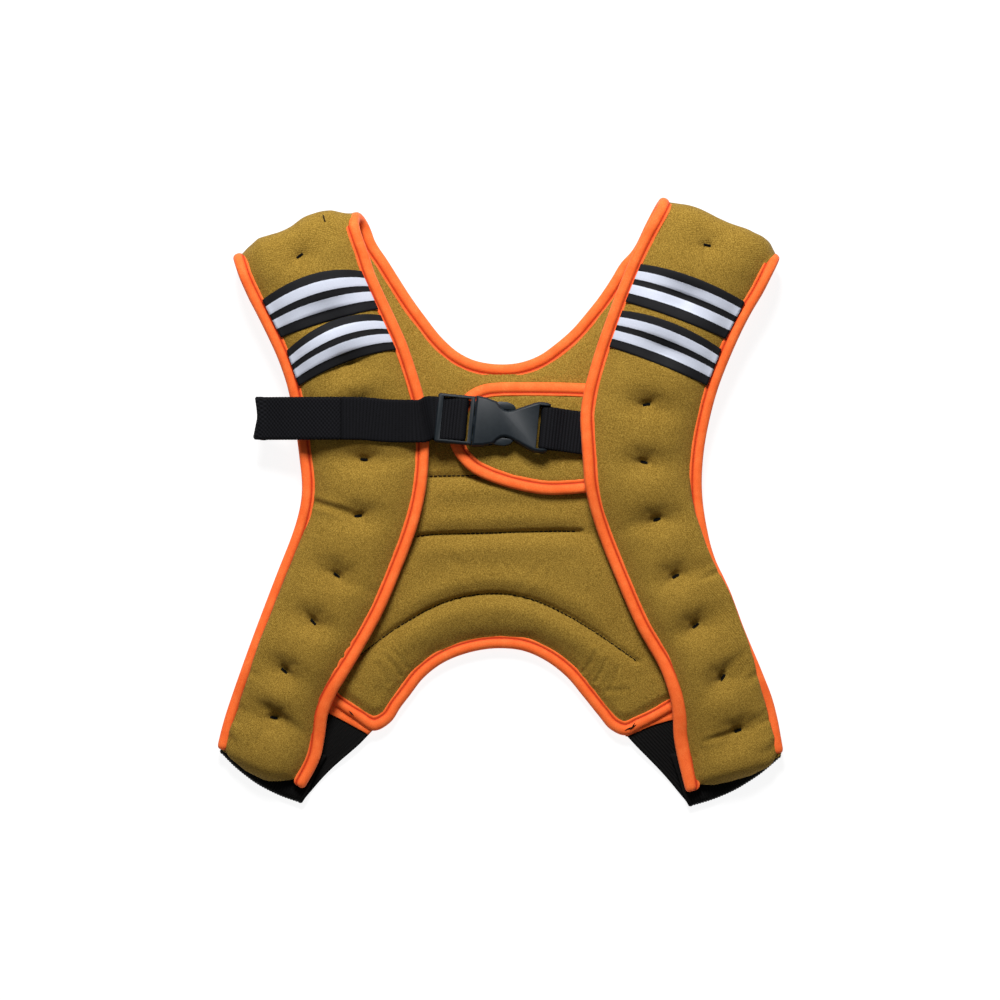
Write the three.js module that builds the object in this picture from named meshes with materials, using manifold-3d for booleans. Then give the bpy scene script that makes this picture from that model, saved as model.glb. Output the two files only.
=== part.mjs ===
// Weighted vest, lying on its back with the chest buckle fastened.
// +X is the right-hand side as seen from above, +Y points to the shoulders, +Z is up, in millimetres.
import * as THREE from 'three';
import { mergeVertices } from 'three/addons/utils/BufferGeometryUtils.js';
import Module from 'manifold-3d';

const wasm = await Module();
wasm.setup();

// Overall size as it lies
const vestWidth = 401;
const vestLength = 426;

// Filled panels
const clearance = 0.3; // between pieces that are sewn or clipped together
const selvage = 4; // thickness of the flattened edge inside a binding
const selvageWidth = 8;
const edgeSlope = 3.4; // from the flattened edge to the full thickness of the back
const backThickness = 12;
const channelRise = 3.6; // a filled channel of the back above the seams beside it
const crown = 11; // front panel above its flattened edge
const belly = 4; // front panel below its flattened edge
const foldRadius = 12; // of a shoulder, at the middle of the padding
const foldBelly = 5; // inside of the shoulder fold
const seamSetback = 6; // from the bottom of the fold to the shoulder seam
const leftSeamSlip = 7; // how far the fold narrows the left panel at its inner edge
const rightSeamSlip = 1.5;
const tackRadius = 9;
const tackDepth = 0.72; // share of the crown that a tack pulls in
const rowSpacing = 13.5; // between cross sections of a front panel
const endBow = 8; // how far a front panel's lower end bulges out
const endReach = 15; // length over which that end becomes thin

// Orange bindings and tapes
const bindingWidth = 8;
const bindingWall = 1.2;

// Elastic side bands
const bandThickness = 2;
const bandFoldRadius = 2.2;
const bandBow = 5;
const bandTuck = 34; // length of the upper layer, below the front panel

// Buckle pad
const padEdge = 3; // thickness of its flattened edge
const padWall = 1;
const padRise = 1;

// Chest webbing and buckle
const webbingWidth = 30;
const webbingThickness = 1.4;
const tailLoft = 0.5; // clearance of the free end over the panel
const buckleLength = 52.5; // female half
const buckleWidth = 35.4;
const buckleThickness = 10;
const buckleWall = 2.1;
const frameLength = 26.6; // adjuster frame of the male half
const frameThickness = 6.4;
const barThickness = 2.6;
const railWidth = 1.9;
const outerBar = 3.8;
const baseLength = 3.5;
const barUnderside = 0.4; // the outer bar stands above the strap's free end
const buckleChamfer = 1.4;
const frameChamfer = 0.8;

// Reflective tapes
const tapeThickness = 1;
const tapeGap = 0.6;

const half = selvage / 2;
const bindingHalf = half + clearance + bindingWall; // half the height of a binding
const nose = clearance + bindingWall; // binding outside the panel's edge
const bindingReach = bindingWidth - nose; // binding over the panel
const backMiddle = selvageWidth * 0.5 + half; // height of the back's flattened edge above the floor
const foldTop = backMiddle + 2 * foldRadius; // middle of the front panels at the shoulder
const bandTop = bandThickness + 2 * bandFoldRadius; // top of the side band's upper layer
const endMiddle = bandTop + clearance + bindingHalf; // middle of the front panels at the lower end
const padHalf = padEdge / 2 + clearance + padWall;
const padMiddle = backThickness + clearance + padHalf;
const padTop = padMiddle + padEdge / 2 + padRise;

const colours = { olive: 0x8a6b2c, orange: 0xe8703a, black: 0x17181a, plastic: 0x23262b, tape: 0xd6d9e2 };

// Tables. Across is a share of the half width and up a share of the half length, to the outer
// contour of the binding. Lift is the height of an edge as a share of the way from the lower end
// to the shoulder.
const named = (columns, rows) => rows.map(row => (
  Object.fromEntries(columns.map((name, i) => [name, row[i]]))
));

const panelColumns = ['outerAcross', 'outerUp', 'innerAcross', 'innerUp', 'outerLift', 'innerLift'];
const leftPanelRows = named(panelColumns, [
  [-0.991, -0.803, -0.688, -0.939, 0.00, 0.00],
  [-0.962, -0.697, -0.627, -0.826, 0.00, 0.04],
  [-0.906, -0.543, -0.595, -0.668, 0.03, 0.22],
  [-0.843, -0.382, -0.508, -0.523, 0.08, 0.38],
  [-0.780, -0.227, -0.417, -0.370, 0.14, 0.46],
  [-0.728, -0.102, -0.351, -0.227, 0.20, 0.48],
  [-0.700, -0.010, -0.291, -0.076, 0.24, 0.50],
  [-0.693, 0.066, -0.260, 0.052, 0.28, 0.54],
  [-0.703, 0.161, -0.250, 0.178, 0.34, 0.60],
  [-0.717, 0.260, -0.257, 0.310, 0.44, 0.66],
  [-0.742, 0.382, -0.319, 0.507, 0.66, 0.80],
  [-0.780, 0.487, -0.382, 0.641, 0.84, 0.90],
  [-0.836, 0.599, -0.435, 0.750, 0.95, 0.97],
  [-0.885, 0.691, -0.466, 0.838, 0.99, 0.99],
  [-0.911, 0.747, -0.485, 0.888, 1.00, 1.00],
]);
const rightPanelRows = named(panelColumns, [
  [0.990, -0.817, 0.650, -0.951, 0.00, 0.00],
  [0.957, -0.660, 0.609, -0.785, 0.00, 0.05],
  [0.906, -0.533, 0.599, -0.662, 0.04, 0.22],
  [0.853, -0.414, 0.557, -0.540, 0.08, 0.36],
  [0.801, -0.283, 0.480, -0.411, 0.13, 0.45],
  [0.745, -0.168, 0.414, -0.270, 0.18, 0.48],
  [0.714, -0.043, 0.340, -0.095, 0.24, 0.54],
  [0.703, 0.056, 0.298, 0.046, 0.30, 0.64],
  [0.707, 0.151, 0.286, 0.171, 0.38, 0.70],
  [0.723, 0.250, 0.281, 0.316, 0.48, 0.74],
  [0.756, 0.372, 0.326, 0.487, 0.66, 0.82],
  [0.805, 0.493, 0.389, 0.656, 0.84, 0.91],
  [0.861, 0.606, 0.446, 0.790, 0.95, 0.97],
  [0.912, 0.688, 0.492, 0.880, 0.99, 0.99],
  [0.944, 0.747, 0.529, 0.944, 1.00, 1.00],
]);

const placeColumns = ['across', 'up'];
const leftTacks = named(placeColumns, [
  [-0.792, -0.704], [-0.755, -0.549], [-0.653, -0.389], [-0.571, -0.235], [-0.496, -0.039],
  [-0.476, 0.146], [-0.487, 0.326], [-0.532, 0.467], [-0.595, 0.622], [-0.698, 0.814],
]);
const rightTacks = named(placeColumns, [
  [0.830, -0.746], [0.777, -0.571], [0.682, -0.401], [0.612, -0.238], [0.546, -0.051],
  [0.501, 0.137], [0.509, 0.326], [0.567, 0.500], [0.637, 0.671], [0.719, 0.849],
]);

const neckline = named(placeColumns, [
  [-0.393, 0.799], [-0.361, 0.751], [-0.314, 0.682], [-0.261, 0.613], [-0.201, 0.543], [-0.147, 0.499],
  [-0.094, 0.474], [-0.050, 0.464], [-0.002, 0.460], [0.065, 0.465], [0.132, 0.487], [0.199, 0.531],
  [0.253, 0.576], [0.298, 0.625], [0.346, 0.682], [0.386, 0.738], [0.424, 0.796], [0.459, 0.832],
]);
const leftArmhole = named(placeColumns, [
  [-0.798, 0.539], [-0.721, 0.408], [-0.637, 0.276], [-0.567, 0.145], [-0.525, 0.013],
  [-0.567, -0.184], [-0.644, -0.375],
]);
const rightArmhole = named(placeColumns, [
  [0.647, -0.408], [0.571, -0.184], [0.546, 0.013], [0.599, 0.145], [0.668, 0.276],
  [0.738, 0.408], [0.818, 0.539],
]);
// From the left side end, round its corner, over the waist arch, to the right side end
const waist = named(placeColumns, [
  [-0.731, -0.549], [-0.508, -0.711], [-0.442, -0.748], [-0.384, -0.718], [-0.350, -0.670],
  [-0.319, -0.632], [-0.271, -0.574], [-0.201, -0.523], [-0.113, -0.490], [-0.002, -0.475],
  [0.082, -0.484], [0.159, -0.516], [0.232, -0.569], [0.291, -0.635], [0.344, -0.697],
  [0.385, -0.742], [0.435, -0.763], [0.495, -0.737], [0.728, -0.612],
]);

// Filled channels of the back: the seam above and the seam below, and how full the channel is
const channelColumns = ['upperAcross', 'upperUp', 'lowerAcross', 'lowerUp', 'fill'];
const shoulderBladeChannel = named(channelColumns, [
  [-0.462, 0.079, -0.462, -0.086, 0.3],
  [-0.351, 0.089, -0.351, -0.105, 1],
  [-0.211, 0.092, -0.211, -0.102, 1],
  [-0.002, 0.092, -0.002, -0.095, 1],
  [0.208, 0.092, 0.208, -0.092, 1],
  [0.365, 0.089, 0.365, -0.089, 1],
  [0.480, 0.079, 0.480, -0.079, 0.3],
]);
const middleChannel = named(channelColumns, [
  [-0.462, -0.158, -0.525, -0.474, 0.2],
  [-0.393, -0.118, -0.435, -0.450, 0.9],
  [-0.281, -0.108, -0.316, -0.377, 1],
  [-0.159, -0.105, -0.180, -0.314, 1],
  [-0.002, -0.098, -0.037, -0.292, 1],
  [0.155, -0.095, 0.103, -0.307, 1],
  [0.277, -0.092, 0.246, -0.368, 1],
  [0.389, -0.098, 0.365, -0.436, 0.9],
  [0.487, -0.145, 0.539, -0.490, 0.2],
]);
const waistChannel = named(channelColumns, [
  [-0.518, -0.525, -0.490, -0.622, 0.2],
  [-0.435, -0.462, -0.393, -0.605, 0.8],
  [-0.316, -0.387, -0.295, -0.500, 0.9],
  [-0.180, -0.324, -0.169, -0.435, 1],
  [-0.037, -0.302, -0.002, -0.411, 1],
  [0.103, -0.317, 0.138, -0.435, 1],
  [0.246, -0.378, 0.243, -0.484, 0.9],
  [0.365, -0.446, 0.326, -0.563, 0.8],
  [0.504, -0.544, 0.424, -0.652, 0.2],
]);

// The pad's contour, from its upper right corner under the front panel round to the lower one
const padContour = named(placeColumns, [
  [0.360, 0.392], [0.250, 0.397], [0.068, 0.399], [-0.005, 0.398], [-0.058, 0.392], [-0.098, 0.377],
  [-0.131, 0.352], [-0.162, 0.309], [-0.178, 0.250], [-0.173, 0.194], [-0.142, 0.142], [-0.098, 0.104],
  [-0.047, 0.080], [0.012, 0.060], [0.082, 0.043], [0.162, 0.032], [0.246, 0.034], [0.360, 0.046],
]);

// Fold line of each side band, from the inner corner to the outer one
const leftBandFold = named(placeColumns, [[-0.696, -0.987], [-0.984, -0.816]]);
const rightBandFold = named(placeColumns, [[0.661, -0.998], [0.984, -0.832]]);

// Corners of the reflective tapes on the front panels, and how far their long sides bow upwards
const tapeColumns = [
  'name', 'panel', 'outerAcross', 'outerTop', 'outerAcrossLow', 'outerLow',
  'innerAcross', 'innerTop', 'innerAcrossLow', 'innerLow', 'topBow', 'lowBow',
];
const tapes = named(tapeColumns, [
  ['left_upper', 'left', -0.825, 0.674, -0.759, 0.549, -0.468, 0.770, -0.424, 0.640, 0.033, 0.007],
  ['left_lower', 'left', -0.745, 0.507, -0.714, 0.385, -0.417, 0.622, -0.365, 0.507, 0.037, 0.019],
  ['right_upper', 'right', 0.853, 0.664, 0.794, 0.539, 0.496, 0.786, 0.442, 0.661, 0.017, 0.005],
  ['right_lower', 'right', 0.770, 0.510, 0.724, 0.388, 0.428, 0.635, 0.380, 0.516, 0.021, 0.005],
]);

// Free end of the chest strap: its middle line from the buckle to the hemmed end
const tailLine = named(['across', 'up', 'layers'], [
  [-0.277, 0.272, 1], [-0.389, 0.273, 1], [-0.476, 0.280, 1], [-0.540, 0.281, 1], [-0.556, 0.281, 2],
  [-0.640, 0.281, 2], [-0.717, 0.281, 2], [-0.790, 0.281, 2], [-0.841, 0.281, 2],
]);

// Place of the buckle: the middle of its mouth, and how it is turned, in degrees
const mouth = { across: -0.092, up: 0.272 };
const buckleYaw = -5.6;
const bucklePitch = 0;
const buckleRoll = -8;

// Outline of the female half: share of its length, and half width as a share of half its width
const femaleOutline = named(['along', 'across'], [
  [0, 1], [0.14, 0.96], [0.28, 0.84], [0.33, 0.66], [0.38, 0.55], [0.43, 0.52], [0.50, 0.56],
  [0.66, 0.78], [0.78, 0.94], [0.85, 1], [0.95, 1], [1, 0.94],
]);
// Outline of one prong of the male half, in the same shares
const prongOutline = named(['along', 'across'], [
  [-0.03, 0.78], [0.23, 0.78], [0.31, 0.86], [0.42, 0.87], [0.50, 0.79], [0.54, 0.66], [0.51, 0.58],
  [0.38, 0.57], [0.23, 0.60], [-0.03, 0.58],
]);

// General helpers
const vector = (x, y, z = 0) => new THREE.Vector3(x, y, z);
const up = vector(0, 0, 1);
const plan = ({ across, up: share }) => vector(across * vestWidth / 2, share * vestLength / 2);
const between = (a, b, share) => a.clone().lerp(b, share);
const raised = (point, height) => vector(point.x, point.y, height);

// Smooth value of every column of a table at t, counted in rows
function along(rows, t) {
  const last = rows.length - 1;
  const i = Math.min(Math.floor(t), last - 1);
  const f = t - i;
  const row = k => rows[THREE.MathUtils.clamp(k, 0, last)];
  const values = {};
  for (const name of Object.keys(rows[0])) {
    const [a, b, c, d] = [row(i - 1)[name], row(i)[name], row(i + 1)[name], row(i + 2)[name]];
    const bend = (2 * a - 5 * b + 4 * c - d) * f * f + (3 * b - a - 3 * c + d) * f * f * f;
    values[name] = b + ((c - a) * f + bend) / 2;
  }
  return values;
}

// Closed body through rings of equal numbers of points, with a face on each end
function loft(rings) {
  const count = rings[0].length;
  const positions = rings.flat().flatMap(point => [point.x, point.y, point.z]);
  const triangles = [];
  for (let r = 0; r + 1 < rings.length; r++) {
    for (let k = 0; k < count; k++) {
      const next = (k + 1) % count;
      const [a, b, c, d] = [r * count + k, r * count + next, (r + 1) * count + next, (r + 1) * count + k];
      const short = rings[r][k].distanceTo(rings[r + 1][next]) < rings[r][next].distanceTo(rings[r + 1][k]);
      triangles.push(...(short ? [a, b, c, a, c, d] : [a, b, d, b, c, d]));
    }
  }
  const first = cap(rings[0]);
  const lastStart = (rings.length - 1) * count;
  for (const [a, b, c] of first) triangles.push(a, c, b);
  const lastCap = cap(rings[rings.length - 1]);
  for (const corners of lastCap) triangles.push(...corners.map(corner => lastStart + corner));
  return outward(positions, triangles);
}

// Triangles over a ring, in the ring's own plane and direction
function cap(ring) {
  const normal = vector(0, 0, 0);
  ring.forEach((point, i) => normal.add(point.clone().cross(ring[(i + 1) % ring.length])));
  normal.normalize();
  const side = ring[1].clone().sub(ring[0]).projectOnPlane(normal).normalize();
  const rise = normal.clone().cross(side);
  const flat = ring.map(point => new THREE.Vector2(point.dot(side), point.dot(rise)));
  return THREE.ShapeUtils.triangulateShape(flat, []);
}

// Geometry whose faces point out of the body
function outward(positions, triangles) {
  let volume = 0;
  const point = i => vector(positions[3 * i], positions[3 * i + 1], positions[3 * i + 2]);
  for (let i = 0; i < triangles.length; i += 3) {
    volume += point(triangles[i]).dot(point(triangles[i + 1]).cross(point(triangles[i + 2])));
  }
  const index = volume < 0 ? triangles.slice().reverse() : triangles;
  const geometry = new THREE.BufferGeometry();
  geometry.setAttribute('position', new THREE.Float32BufferAttribute(positions, 3));
  geometry.setIndex(index);
  return geometry;
}

// Boolean work
function solid(geometry) {
  const bare = geometry.clone();
  bare.deleteAttribute('normal');
  bare.deleteAttribute('uv');
  const merged = mergeVertices(bare, 1e-4);
  const mesh = {
    numProp: 3,
    vertProperties: merged.attributes.position.array,
    triVerts: new Uint32Array(merged.index.array),
  };
  return new wasm.Manifold(new wasm.Mesh(mesh));
}
function geometryOf(body) {
  const mesh = body.getMesh();
  return outward(Array.from(mesh.vertProperties), Array.from(mesh.triVerts));
}
const joined = (first, ...others) => (
  geometryOf(others.reduce((body, other) => body.add(solid(other)), solid(first)))
);
const cut = (first, ...others) => (
  geometryOf(others.reduce((body, other) => body.subtract(solid(other)), solid(first)))
);

// Prism of a flat outline between two heights
function prism(points, low, high) {
  return loft([points.map(([x, y]) => vector(x, y, low)), points.map(([x, y]) => vector(x, y, high))]);
}
const block = (x0, x1, y0, y1, z0, z1) => prism([[x0, y0], [x1, y0], [x1, y1], [x0, y1]], z0, z1);

// Highest surface of some bodies above a place in plan, found in a grid of their triangles
function surfaceOf(...geometries) {
  const cell = 20;
  const buckets = new Map();
  const key = (x, y) => Math.floor(x / cell) + ',' + Math.floor(y / cell);
  for (const geometry of geometries) {
    const place = geometry.attributes.position;
    const index = geometry.index.array;
    for (let i = 0; i < index.length; i += 3) {
      const corners = [0, 1, 2].map(k => vector(0, 0, 0).fromBufferAttribute(place, index[i + k]));
      const xs = corners.map(c => c.x);
      const ys = corners.map(c => c.y);
      for (let x = Math.floor(Math.min(...xs) / cell); x <= Math.floor(Math.max(...xs) / cell); x++) {
        for (let y = Math.floor(Math.min(...ys) / cell); y <= Math.floor(Math.max(...ys) / cell); y++) {
          const name = x + ',' + y;
          if (!buckets.has(name)) buckets.set(name, []);
          buckets.get(name).push(corners);
        }
      }
    }
  }
  return (x, y) => {
    let top = -Infinity;
    for (const [a, b, c] of buckets.get(key(x, y)) ?? []) {
      const area = (b.x - a.x) * (c.y - a.y) - (c.x - a.x) * (b.y - a.y);
      if (Math.abs(area) < 1e-9) continue;
      const u = ((x - a.x) * (c.y - a.y) - (c.x - a.x) * (y - a.y)) / area;
      const v = ((b.x - a.x) * (y - a.y) - (x - a.x) * (b.y - a.y)) / area;
      if (u >= 0 && v >= 0 && u + v <= 1) top = Math.max(top, a.z + u * (b.z - a.z) + v * (c.z - a.z));
    }
    return top;
  };
}

// Direction of a line at one of its points, and how much longer a mitre is there
function bend(points, i) {
  const leg = (a, b) => points[b].clone().sub(points[a]).normalize();
  const after = i + 1 < points.length ? leg(i, i + 1) : leg(i - 1, i);
  const before = i > 0 ? leg(i - 1, i) : after;
  const tangent = before.clone().add(after).normalize();
  return { tangent, mitre: 1 / tangent.dot(after) };
}
// Frames along an edge; side is 1 where the panel lies to the left of the way, seen with up towards us
function edgeFrames(stations, side) {
  const points = stations.map(station => station.point);
  return stations.map(({ point, up: upward }, i) => {
    const { tangent, mitre } = bend(points, i);
    const inward = upward.clone().cross(tangent).multiplyScalar(side).normalize();
    return { point, up: upward, inward: inward.multiplyScalar(mitre) };
  });
}
const rim = (frame, reach, height) => (
  frame.point.clone().addScaledVector(frame.inward, reach).addScaledVector(frame.up, height)
);
const shifted = (points, reach, side) => (
  edgeFrames(points.map(point => ({ point, up })), side).map(frame => rim(frame, reach, 0))
);

// A folded binding along an edge: a channel that grips the flattened edge
function binding(frames, slotHalf, wall, width) {
  const outerHalf = slotHalf + wall;
  const reach = width - clearance - wall;
  const section = [
    [reach, outerHalf], [-clearance - wall * 0.35, outerHalf], [-clearance - wall, 0],
    [-clearance - wall * 0.35, -outerHalf], [reach, -outerHalf],
    [reach, -slotHalf], [-clearance, -slotHalf], [-clearance, slotHalf], [reach, slotHalf],
  ];
  return loft(frames.map(frame => section.map(([a, b]) => rim(frame, a, b))));
}
const panelBinding = frames => binding(frames, half + clearance, bindingWall, bindingWidth);

// A slab whose outline is thin at the edge and full inside it
function paddedSlab(frames, layers, lift = () => 0) {
  return loft(layers.map(([reach, height]) => frames.map(frame => {
    const point = rim(frame, reach, 0);
    return raised(point, height + lift(point));
  })));
}

// A flat strip: points across each row, thick along the row's own normals
function sheet(rows) {
  return loft(rows.map(({ points, normals, thickness }) => [
    ...points.map((point, i) => point.clone().addScaledVector(normals[i], thickness / 2)),
    ...points.map((point, i) => point.clone().addScaledVector(normals[i], -thickness / 2)).reverse(),
  ]));
}

// Front panels

// Cross sections from the lower end to the shoulder seam, before they are lifted over what is below
function panelStations(rows, tacks, innerSlip) {
  const edges = t => {
    const row = along(rows, t);
    const outer = plan({ across: row.outerAcross, up: row.outerUp });
    const inner = plan({ across: row.innerAcross, up: row.innerUp });
    const inset = inner.clone().sub(outer).normalize().multiplyScalar(nose);
    return { row, outer: outer.add(inset), inner: inner.sub(inset) };
  };
  const fine = 24;
  const samples = [];
  for (let k = 0; k <= fine * (rows.length - 1); k++) {
    const { outer, inner } = edges(k / fine);
    const middle = between(outer, inner, 0.5);
    const last = samples[samples.length - 1];
    samples.push({ t: k / fine, middle, length: last ? last.length + middle.distanceTo(last.middle) : 0 });
  }
  const total = samples[samples.length - 1].length;
  const nearest = (value, measure) => samples.reduce((a, b) => (
    Math.abs(measure(b) - value) < Math.abs(measure(a) - value) ? b : a
  ));
  const tackPoints = tacks.map(plan);
  const tackLengths = tackPoints.map(point => nearest(0, sample => sample.middle.distanceTo(point)).length);
  const early = tackLengths.filter(length => length < total - rowSpacing);
  const stops = [0, endReach * 0.3, endReach * 0.7, ...early, total];
  const lengths = [0];
  for (let i = 1; i < stops.length; i++) {
    const steps = Math.max(1, Math.round((stops[i] - stops[i - 1]) / rowSpacing));
    for (let k = 1; k <= steps; k++) lengths.push(stops[i - 1] + (stops[i] - stops[i - 1]) * k / steps);
  }
  const stations = lengths.map(length => {
    const { row, outer, inner } = edges(nearest(length, sample => sample.length).t);
    const lift = share => endMiddle + share * (foldTop - endMiddle);
    const end = Math.min(length / endReach, 1);
    const fullness = Math.sqrt(1 - (1 - end) ** 2);
    const tacked = tackLengths.some(tack => Math.abs(tack - length) < 0.5);
    const bow = endBow * Math.max(0, 1 - length / (3 * endReach)) ** 2;
    return {
      length, outer: raised(outer, lift(row.outerLift)), inner: raised(inner, lift(row.innerLift)),
      above: crown * fullness * (tacked ? 0.9 : 1),
      below: belly * THREE.MathUtils.smoothstep(length, bandTuck / 2, 2 * bandTuck),
      bow, tacks: tackPoints,
    };
  });
  return { stations, fold: foldStations(stations[stations.length - 1], innerSlip) };
}

// The shoulder: half a turn about a line under the last cross section, then back to the seam
function foldStations(axis, innerSlip) {
  const across = axis.inner.clone().sub(axis.outer).normalize();
  const away = vector(-across.y, across.x).multiplyScalar(Math.sign(across.x));
  const turns = 6;
  const full = backMiddle - half;
  const stations = [];
  for (let k = 1; k <= turns; k++) {
    const angle = Math.PI * k / turns;
    const turned = (1 - Math.cos(angle)) / 2;
    const height = foldTop - 2 * foldRadius * turned;
    const place = edge => edge.clone().addScaledVector(away, foldRadius * Math.sin(angle)).setZ(height);
    stations.push({
      outer: place(axis.outer), inner: place(axis.inner).addScaledVector(across, innerSlip * turned),
      above: THREE.MathUtils.lerp(axis.above, full, Math.min(1, turned * 1.6)),
      below: THREE.MathUtils.lerp(belly, k < turns ? foldBelly : backThickness - backMiddle - half, turned),
      bow: 0, tacks: k === 1 ? axis.tacks : [],
    });
  }
  const last = stations[stations.length - 1];
  const back = edge => edge.clone().addScaledVector(away, -seamSetback);
  stations.push({ outer: back(last.outer), inner: back(last.inner), above: 0, below: 0, bow: 0, tacks: [] });
  return stations;
}

const profile = u => (1 - Math.abs(u) ** 2.4) ** 0.55;

const settleFall = 0.003; // how fast a lift fades along a panel, per square millimetre

// Lifts each cross section clear of the surface below it, gently spread along the panel
function settle(stations, ground) {
  const samples = 16;
  const needs = stations.map(({ outer, inner, below: sag }) => {
    const width = outer.distanceTo(inner);
    const need = { outer: 0, inner: 0 };
    const way = vector(outer.y - inner.y, inner.x - outer.x).setLength(rowSpacing);
    for (let k = 0; k <= samples; k++) {
      const share = k / samples;
      const point = between(outer, inner, share);
      const toEdge = Math.min(share, 1 - share) * width;
      const inside = Math.max(0, toEdge - selvageWidth) / (width - 2 * selvageWidth);
      const depth = toEdge < selvageWidth + 1 ? bindingHalf : half + sag * profile(1 - 2 * inside);
      const below = [-0.5, 0, 0.5].map(part => ground(point.x + way.x * part, point.y + way.y * part));
      const lack = Math.max(0, Math.max(...below) + 2 * clearance + depth - point.z);
      const sum = share ** 2 + (1 - share) ** 2;
      need.outer = Math.max(need.outer, lack * (1 - share) / sum);
      need.inner = Math.max(need.inner, lack * share / sum);
    }
    return need;
  });
  const spread = (i, edge) => Math.max(...needs.map((need, k) => (
    need[edge] - settleFall * (stations[k].length - stations[i].length) ** 2
  )));
  return stations.map((station, i) => ({
    ...station,
    outer: station.outer.clone().addScaledVector(up, Math.max(0, spread(i, 'outer'))),
    inner: station.inner.clone().addScaledVector(up, Math.max(0, spread(i, 'inner'))),
  }));
}

// The padded body of a panel, with the frames of its two edges
function makePanel(stations, mirrored) {
  const side = mirrored ? 1 : -1;
  const edge = (name, other, sign) => {
    const points = stations.map(station => station[name]);
    const uprights = stations.map((station, i) => {
      const { tangent } = bend(points, i);
      return tangent.cross(station[other].clone().sub(station[name])).multiplyScalar(sign).normalize();
    });
    return edgeFrames(points.map((point, i) => ({ point, up: uprights[i] })), sign);
  };
  const outerFrames = edge('outer', 'inner', side);
  const innerFrames = edge('inner', 'outer', -side);
  const rings = stations.map((station, i) => {
    const [outer, inner] = [outerFrames[i], innerFrames[i]];
    const [from, to] = i > 0 ? [station, stations[i - 1]] : [stations[1], station];
    const down = to.outer.clone().sub(from.outer);
    const bowWay = down.setZ(0).normalize();
    const filled = (share, sign) => {
      const u = 2 * share - 1;
      const point = between(rim(outer, selvageWidth, 0), rim(inner, selvageWidth, 0), share);
      const upward = between(outer.up, inner.up, share).normalize();
      let height = (sign > 0 ? station.above : station.below) * profile(u);
      if (sign > 0) {
        const flat = point.clone().setZ(0);
        const pull = station.tacks.reduce((sum, tack) => (
          sum + Math.exp(-((flat.distanceTo(tack) / tackRadius) ** 2))
        ), 0);
        height *= 1 - tackDepth * Math.min(1, pull);
      }
      const bow = station.bow * (1 - 0.8 * u * u);
      return point.addScaledVector(upward, sign * (half + height)).addScaledVector(bowWay, bow);
    };
    return [
      rim(outer, 0, half), rim(outer, selvageWidth, half),
      ...[0.1, 0.3, 0.5, 0.7, 0.9].map(share => filled(share, 1)),
      rim(inner, selvageWidth, half), rim(inner, 0, half),
      rim(inner, 0, -half), rim(inner, selvageWidth, -half),
      ...[0.82, 0.5, 0.18].map(share => filled(share, -1)),
      rim(outer, selvageWidth, -half), rim(outer, 0, -half),
    ];
  });
  return { geometry: loft(rings), outerFrames, innerFrames };
}

const leftPlan = panelStations(leftPanelRows, leftTacks, leftSeamSlip);
const rightPlan = panelStations(rightPanelRows, rightTacks, rightSeamSlip);

// Back panel

const seamEnd = (plannedPanel, name) => {
  const last = plannedPanel.fold[plannedPanel.fold.length - 1];
  const before = plannedPanel.fold[plannedPanel.fold.length - 2];
  const way = last[name].clone().sub(before[name]).normalize();
  return last[name].clone().addScaledVector(way, clearance).setZ(0);
};
const neckPoints = [
  seamEnd(leftPlan, 'inner'), ...shifted(neckline.map(plan), nose, -1), seamEnd(rightPlan, 'inner'),
];
const sidePoints = shifted([...leftArmhole, ...waist, ...rightArmhole].map(plan), nose, 1);
const outlinePoints = [
  seamEnd(leftPlan, 'outer'), ...sidePoints, seamEnd(rightPlan, 'outer'), ...neckPoints.slice().reverse(),
];
const closedFrames = points => {
  const wrapped = [points[points.length - 1], ...points, points[0]];
  return edgeFrames(wrapped.map(point => ({ point, up })), 1).slice(1, -1);
};

function makeBack() {
  const inside = selvageWidth + edgeSlope;
  const slab = paddedSlab(closedFrames(outlinePoints), [
    [inside, 0], [selvageWidth, backMiddle - half], [0, backMiddle - half],
    [0, backMiddle + half], [selvageWidth, backMiddle + half], [inside, backThickness],
  ]);
  const channel = rows => loft(rows.map(row => {
    const upper = plan({ across: row.upperAcross, up: row.upperUp });
    const lower = plan({ across: row.lowerAcross, up: row.lowerUp });
    const arc = [0.12, 0.35, 0.65, 0.88].map(share => {
      const height = backThickness + channelRise * row.fill * profile(2 * share - 1);
      return raised(between(upper, lower, share), height);
    });
    return [raised(upper, backMiddle), raised(upper, backThickness - clearance), ...arc,
      raised(lower, backThickness - clearance), raised(lower, backMiddle)];
  }));
  return joined(slab, channel(shoulderBladeChannel), channel(middleChannel), channel(waistChannel));
}
const back = makeBack();

const armCount = leftArmhole.length;
const waistCount = waist.length;
const atBack = (points, upward) => points.map(point => ({ point: raised(point, backMiddle), up: upward }));
const downward = up.clone().negate();
const leftCorner = sidePoints[armCount];
const rightCorner = sidePoints[armCount + waistCount - 1];
// The armhole bindings stop short of the corner, where the waist binding begins
const shortOf = (corner, from) => {
  const way = from.clone().sub(corner).normalize();
  return corner.clone().addScaledVector(way, bindingWidth + clearance);
};
const leftArmPoints = [
  seamEnd(leftPlan, 'outer'), ...sidePoints.slice(0, armCount), shortOf(leftCorner, sidePoints[armCount - 1]),
];
const rightArmPoints = [
  shortOf(rightCorner, sidePoints[armCount + waistCount]), ...sidePoints.slice(armCount + waistCount),
  seamEnd(rightPlan, 'outer'),
];
const waistFrames = edgeFrames(atBack(sidePoints.slice(armCount, armCount + waistCount), up), 1);
const waistBinding = panelBinding(waistFrames);
const backTrim = [
  waistBinding,
  panelBinding(edgeFrames(atBack(leftArmPoints, up), 1)),
  panelBinding(edgeFrames(atBack(rightArmPoints, up), 1)),
  panelBinding(edgeFrames(atBack(neckPoints, up), -1)),
];

// Side bands: from the tape at the back's side end, down to the fold on the floor, and up again

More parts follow.
